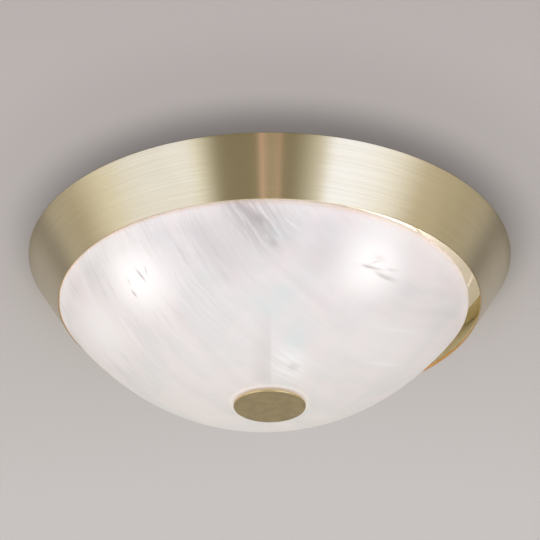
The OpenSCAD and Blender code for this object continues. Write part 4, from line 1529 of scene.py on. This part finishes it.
@dataclass(frozen=True)
class Studio:
    """A pale room with soft boxes, a pale ceiling and the camera."""

    near_paint: str = "#C6BEBC"
    far_paint: str = "#DAD4D2"
    room: str = "#E0D7C7"
    boxes: tuple[SoftBox, ...] = (
        SoftBox("#A09880", 1.0, rise=(80, 116), high=(-16, -4), mirrored=True),
        SoftBox("#7A766A", 1.0, rise=(106, 120), high=(-16, -4), mirrored=True),
        SoftBox("#AFA89C", 1.0, rise=(132, 150), high=(-16, -4), mirrored=True),
        SoftBox("#867C66", 1.0, (-56, -44), (36, 44), high=(7, 17)),
        SoftBox("#AFA08B", 1.0, (-6, -4.2), (4.2, 6.8), (-67, -57), (-5, 5)),
        SoftBox("#FFD1CD", 1.08, (-5.0, -4.1), (-3.5, -2.4), (-65, -55), (-5, 5)),
        SoftBox("#FFCFC6", 0.8, (3.5, 4.2), (4.8, 5.5), (-65, -55), (-5, 5)),
        SoftBox("#FFFEFC", 1.14, (-106, -77), (-38, -23), (-75, -65), (3, 13)),
        SoftBox("#E3E8FF", 1.61, (-85, -64), (-41, -32), (-67, -57), (3, 13)),
        SoftBox("#FFFEFF", 1.27, (9, 37), (55, 80), (-75, -65), (3, 13)),
        SoftBox("#D6DEFF", 2.16, (25, 31), (36, 81), (-67, -57), (3, 13)),
        SoftBox("#FBFFF3", 1.4, high=(-67, -57)),
        SoftBox("#E7E3DE", 1.0, low=(-10, 0)),
        SoftBox("#14120E", 1.0, (109, 130), (150, 168), low=(-16, -8), mirrored=True),
        SoftBox("#D9D5CF", 1.0, (-160, -150), (-122, -114), high=(-17, -12)),
    )
    distance: float = 1.686
    elevation: float = 30.1
    focal_px: float = 1925.0
    centre_px: tuple[float, float] = (269.6, 267.08)
    size_px: float = 540.0

    def world(self) -> None:
        """Lights the scene from its surroundings: the room, with each soft box laid over it in turn."""
        world = bpy.data.worlds.new("pale_studio")
        bpy.context.scene.world = world
        world.use_nodes = True
        tree = world.node_tree
        tree.nodes.clear()
        axes = add_node(tree, "SeparateXYZ", {0: add_node(tree, "TexCoord").outputs["Generated"]})
        front = add_node(tree, "Math", {0: axes.outputs[1], 1: -1.0}, operation="MULTIPLY")
        azimuth = add_node(tree, "Math", {0: axes.outputs[0], 1: front}, operation="ARCTAN2")
        light: object = to_linear(self.room)
        for box in self.boxes:
            light = box.over(tree, azimuth, axes.outputs[2], light)
        background = add_node(tree, "Background", {"Color": light})
        add_node(tree, "OutputWorld", {"Surface": background})

    def ceiling(self) -> None:
        """A pale ceiling with the fitting's soft shadow painted on, open to a view from above.

        Its paint gets paler away from the camera, over the metre that the camera sees. A painted shadow
        darkens it round the skirt by two soft steps of the distance from points a little to its front.
        """
        points = [(-4, -4, 0.0004), (-4, 4, 0.0004), (4, 4, 0.0004), (4, -4, 0.0004)]
        mesh = bpy.data.meshes.new("ceiling")
        mesh.from_pydata(points, [], [(0, 1, 2, 3)])
        plane = add_object("ceiling", mesh)
        material, tree = new_material("matt_ceiling_paint")
        place = add_node(tree, "TexCoord").outputs["Object"]
        axes = add_node(tree, "SeparateXYZ", {0: place})
        share = add_node(tree, "MapRange", {0: axes.outputs[1], 1: -0.5, 2: 0.5})
        paint = add_node(tree, "Mix", {
            0: share, 6: to_linear(self.near_paint), 7: to_linear(self.far_paint),
        }, **RGBA)
        # Painted shadow of the fitting: two soft darkening steps round the skirt
        for centre, start, end, left in ((-0.034, 0.236, 0.176, 0.46), (-0.070, 0.300, 0.200, 0.90)):
            apart = add_node(tree, "VectorMath", {0: place, 1: (0.003, centre, 0)}, operation="DISTANCE")
            shade = add_node(tree, "MapRange", {0: apart, 1: start, 2: end, 3: 1.0, 4: left}, **SOFT)
            paint = add_node(tree, "VectorMath", {0: paint, "Scale": shade}, operation="SCALE")
        front = add_node(tree, "BsdfDiffuse", {"Color": paint})
        clear = add_node(tree, "BsdfTransparent")
        behind = add_node(tree, "NewGeometry").outputs["Backfacing"]
        both = add_node(tree, "MixShader", {0: behind, 1: front, 2: clear})
        add_node(tree, "OutputMaterial", {"Surface": both})
        mesh.materials.append(material)
        plane.visible_shadow = False

    def top_light(self) -> None:
        """A large soft lamp above the ceiling line, for views of the back."""
        lamp = bpy.data.lights.new("above", "AREA")
        lamp.size = 1.4
        lamp.energy = 26.0
        placed = add_object("above", lamp)
        placed.location = (0.3, -0.4, 1.5)
        placed.rotation_euler = (math.radians(-14), math.radians(11), 0)

    def camera(self) -> None:
        """The camera below the fitting, at the photograph's height, distance and framing."""
        low, tilt = math.radians(self.elevation), math.atan2(
            self.size_px / 2 - self.centre_px[1], self.focal_px
        )
        data = bpy.data.cameras.new("camera")
        data.sensor_width = 36.0
        data.lens = self.focal_px / self.size_px * data.sensor_width
        data.clip_end = 50.0
        data.dof.use_dof = False
        camera = add_object("camera", data)
        camera.location = (0, -self.distance * math.cos(low), -self.distance * math.sin(low))
        aside = math.atan2(self.centre_px[0] - self.size_px / 2, self.focal_px)
        camera.rotation_euler = (math.pi / 2 + low - tilt, 0, aside)
        bpy.context.scene.camera = camera

    def build(self) -> None:
        """Sets the camera, the light and the ceiling."""
        self.camera()
        self.world()
        self.ceiling()
        self.top_light()
        bpy.context.scene.view_settings.view_transform = "Standard"


def main() -> None:
    """Builds the studio and the sub-assemblies in order."""
    logging.basicConfig(level=logging.INFO, format="%(name)s: %(message)s")
    Studio().build()
    Skirt().build()
    RodStack().build()
    Bowl().build()
    Finial().build()
    Holders().build()
    for number in LAMPS:
        Lamp(number).build()
    Wiring().build()


if __name__ == "__main__":
    main()
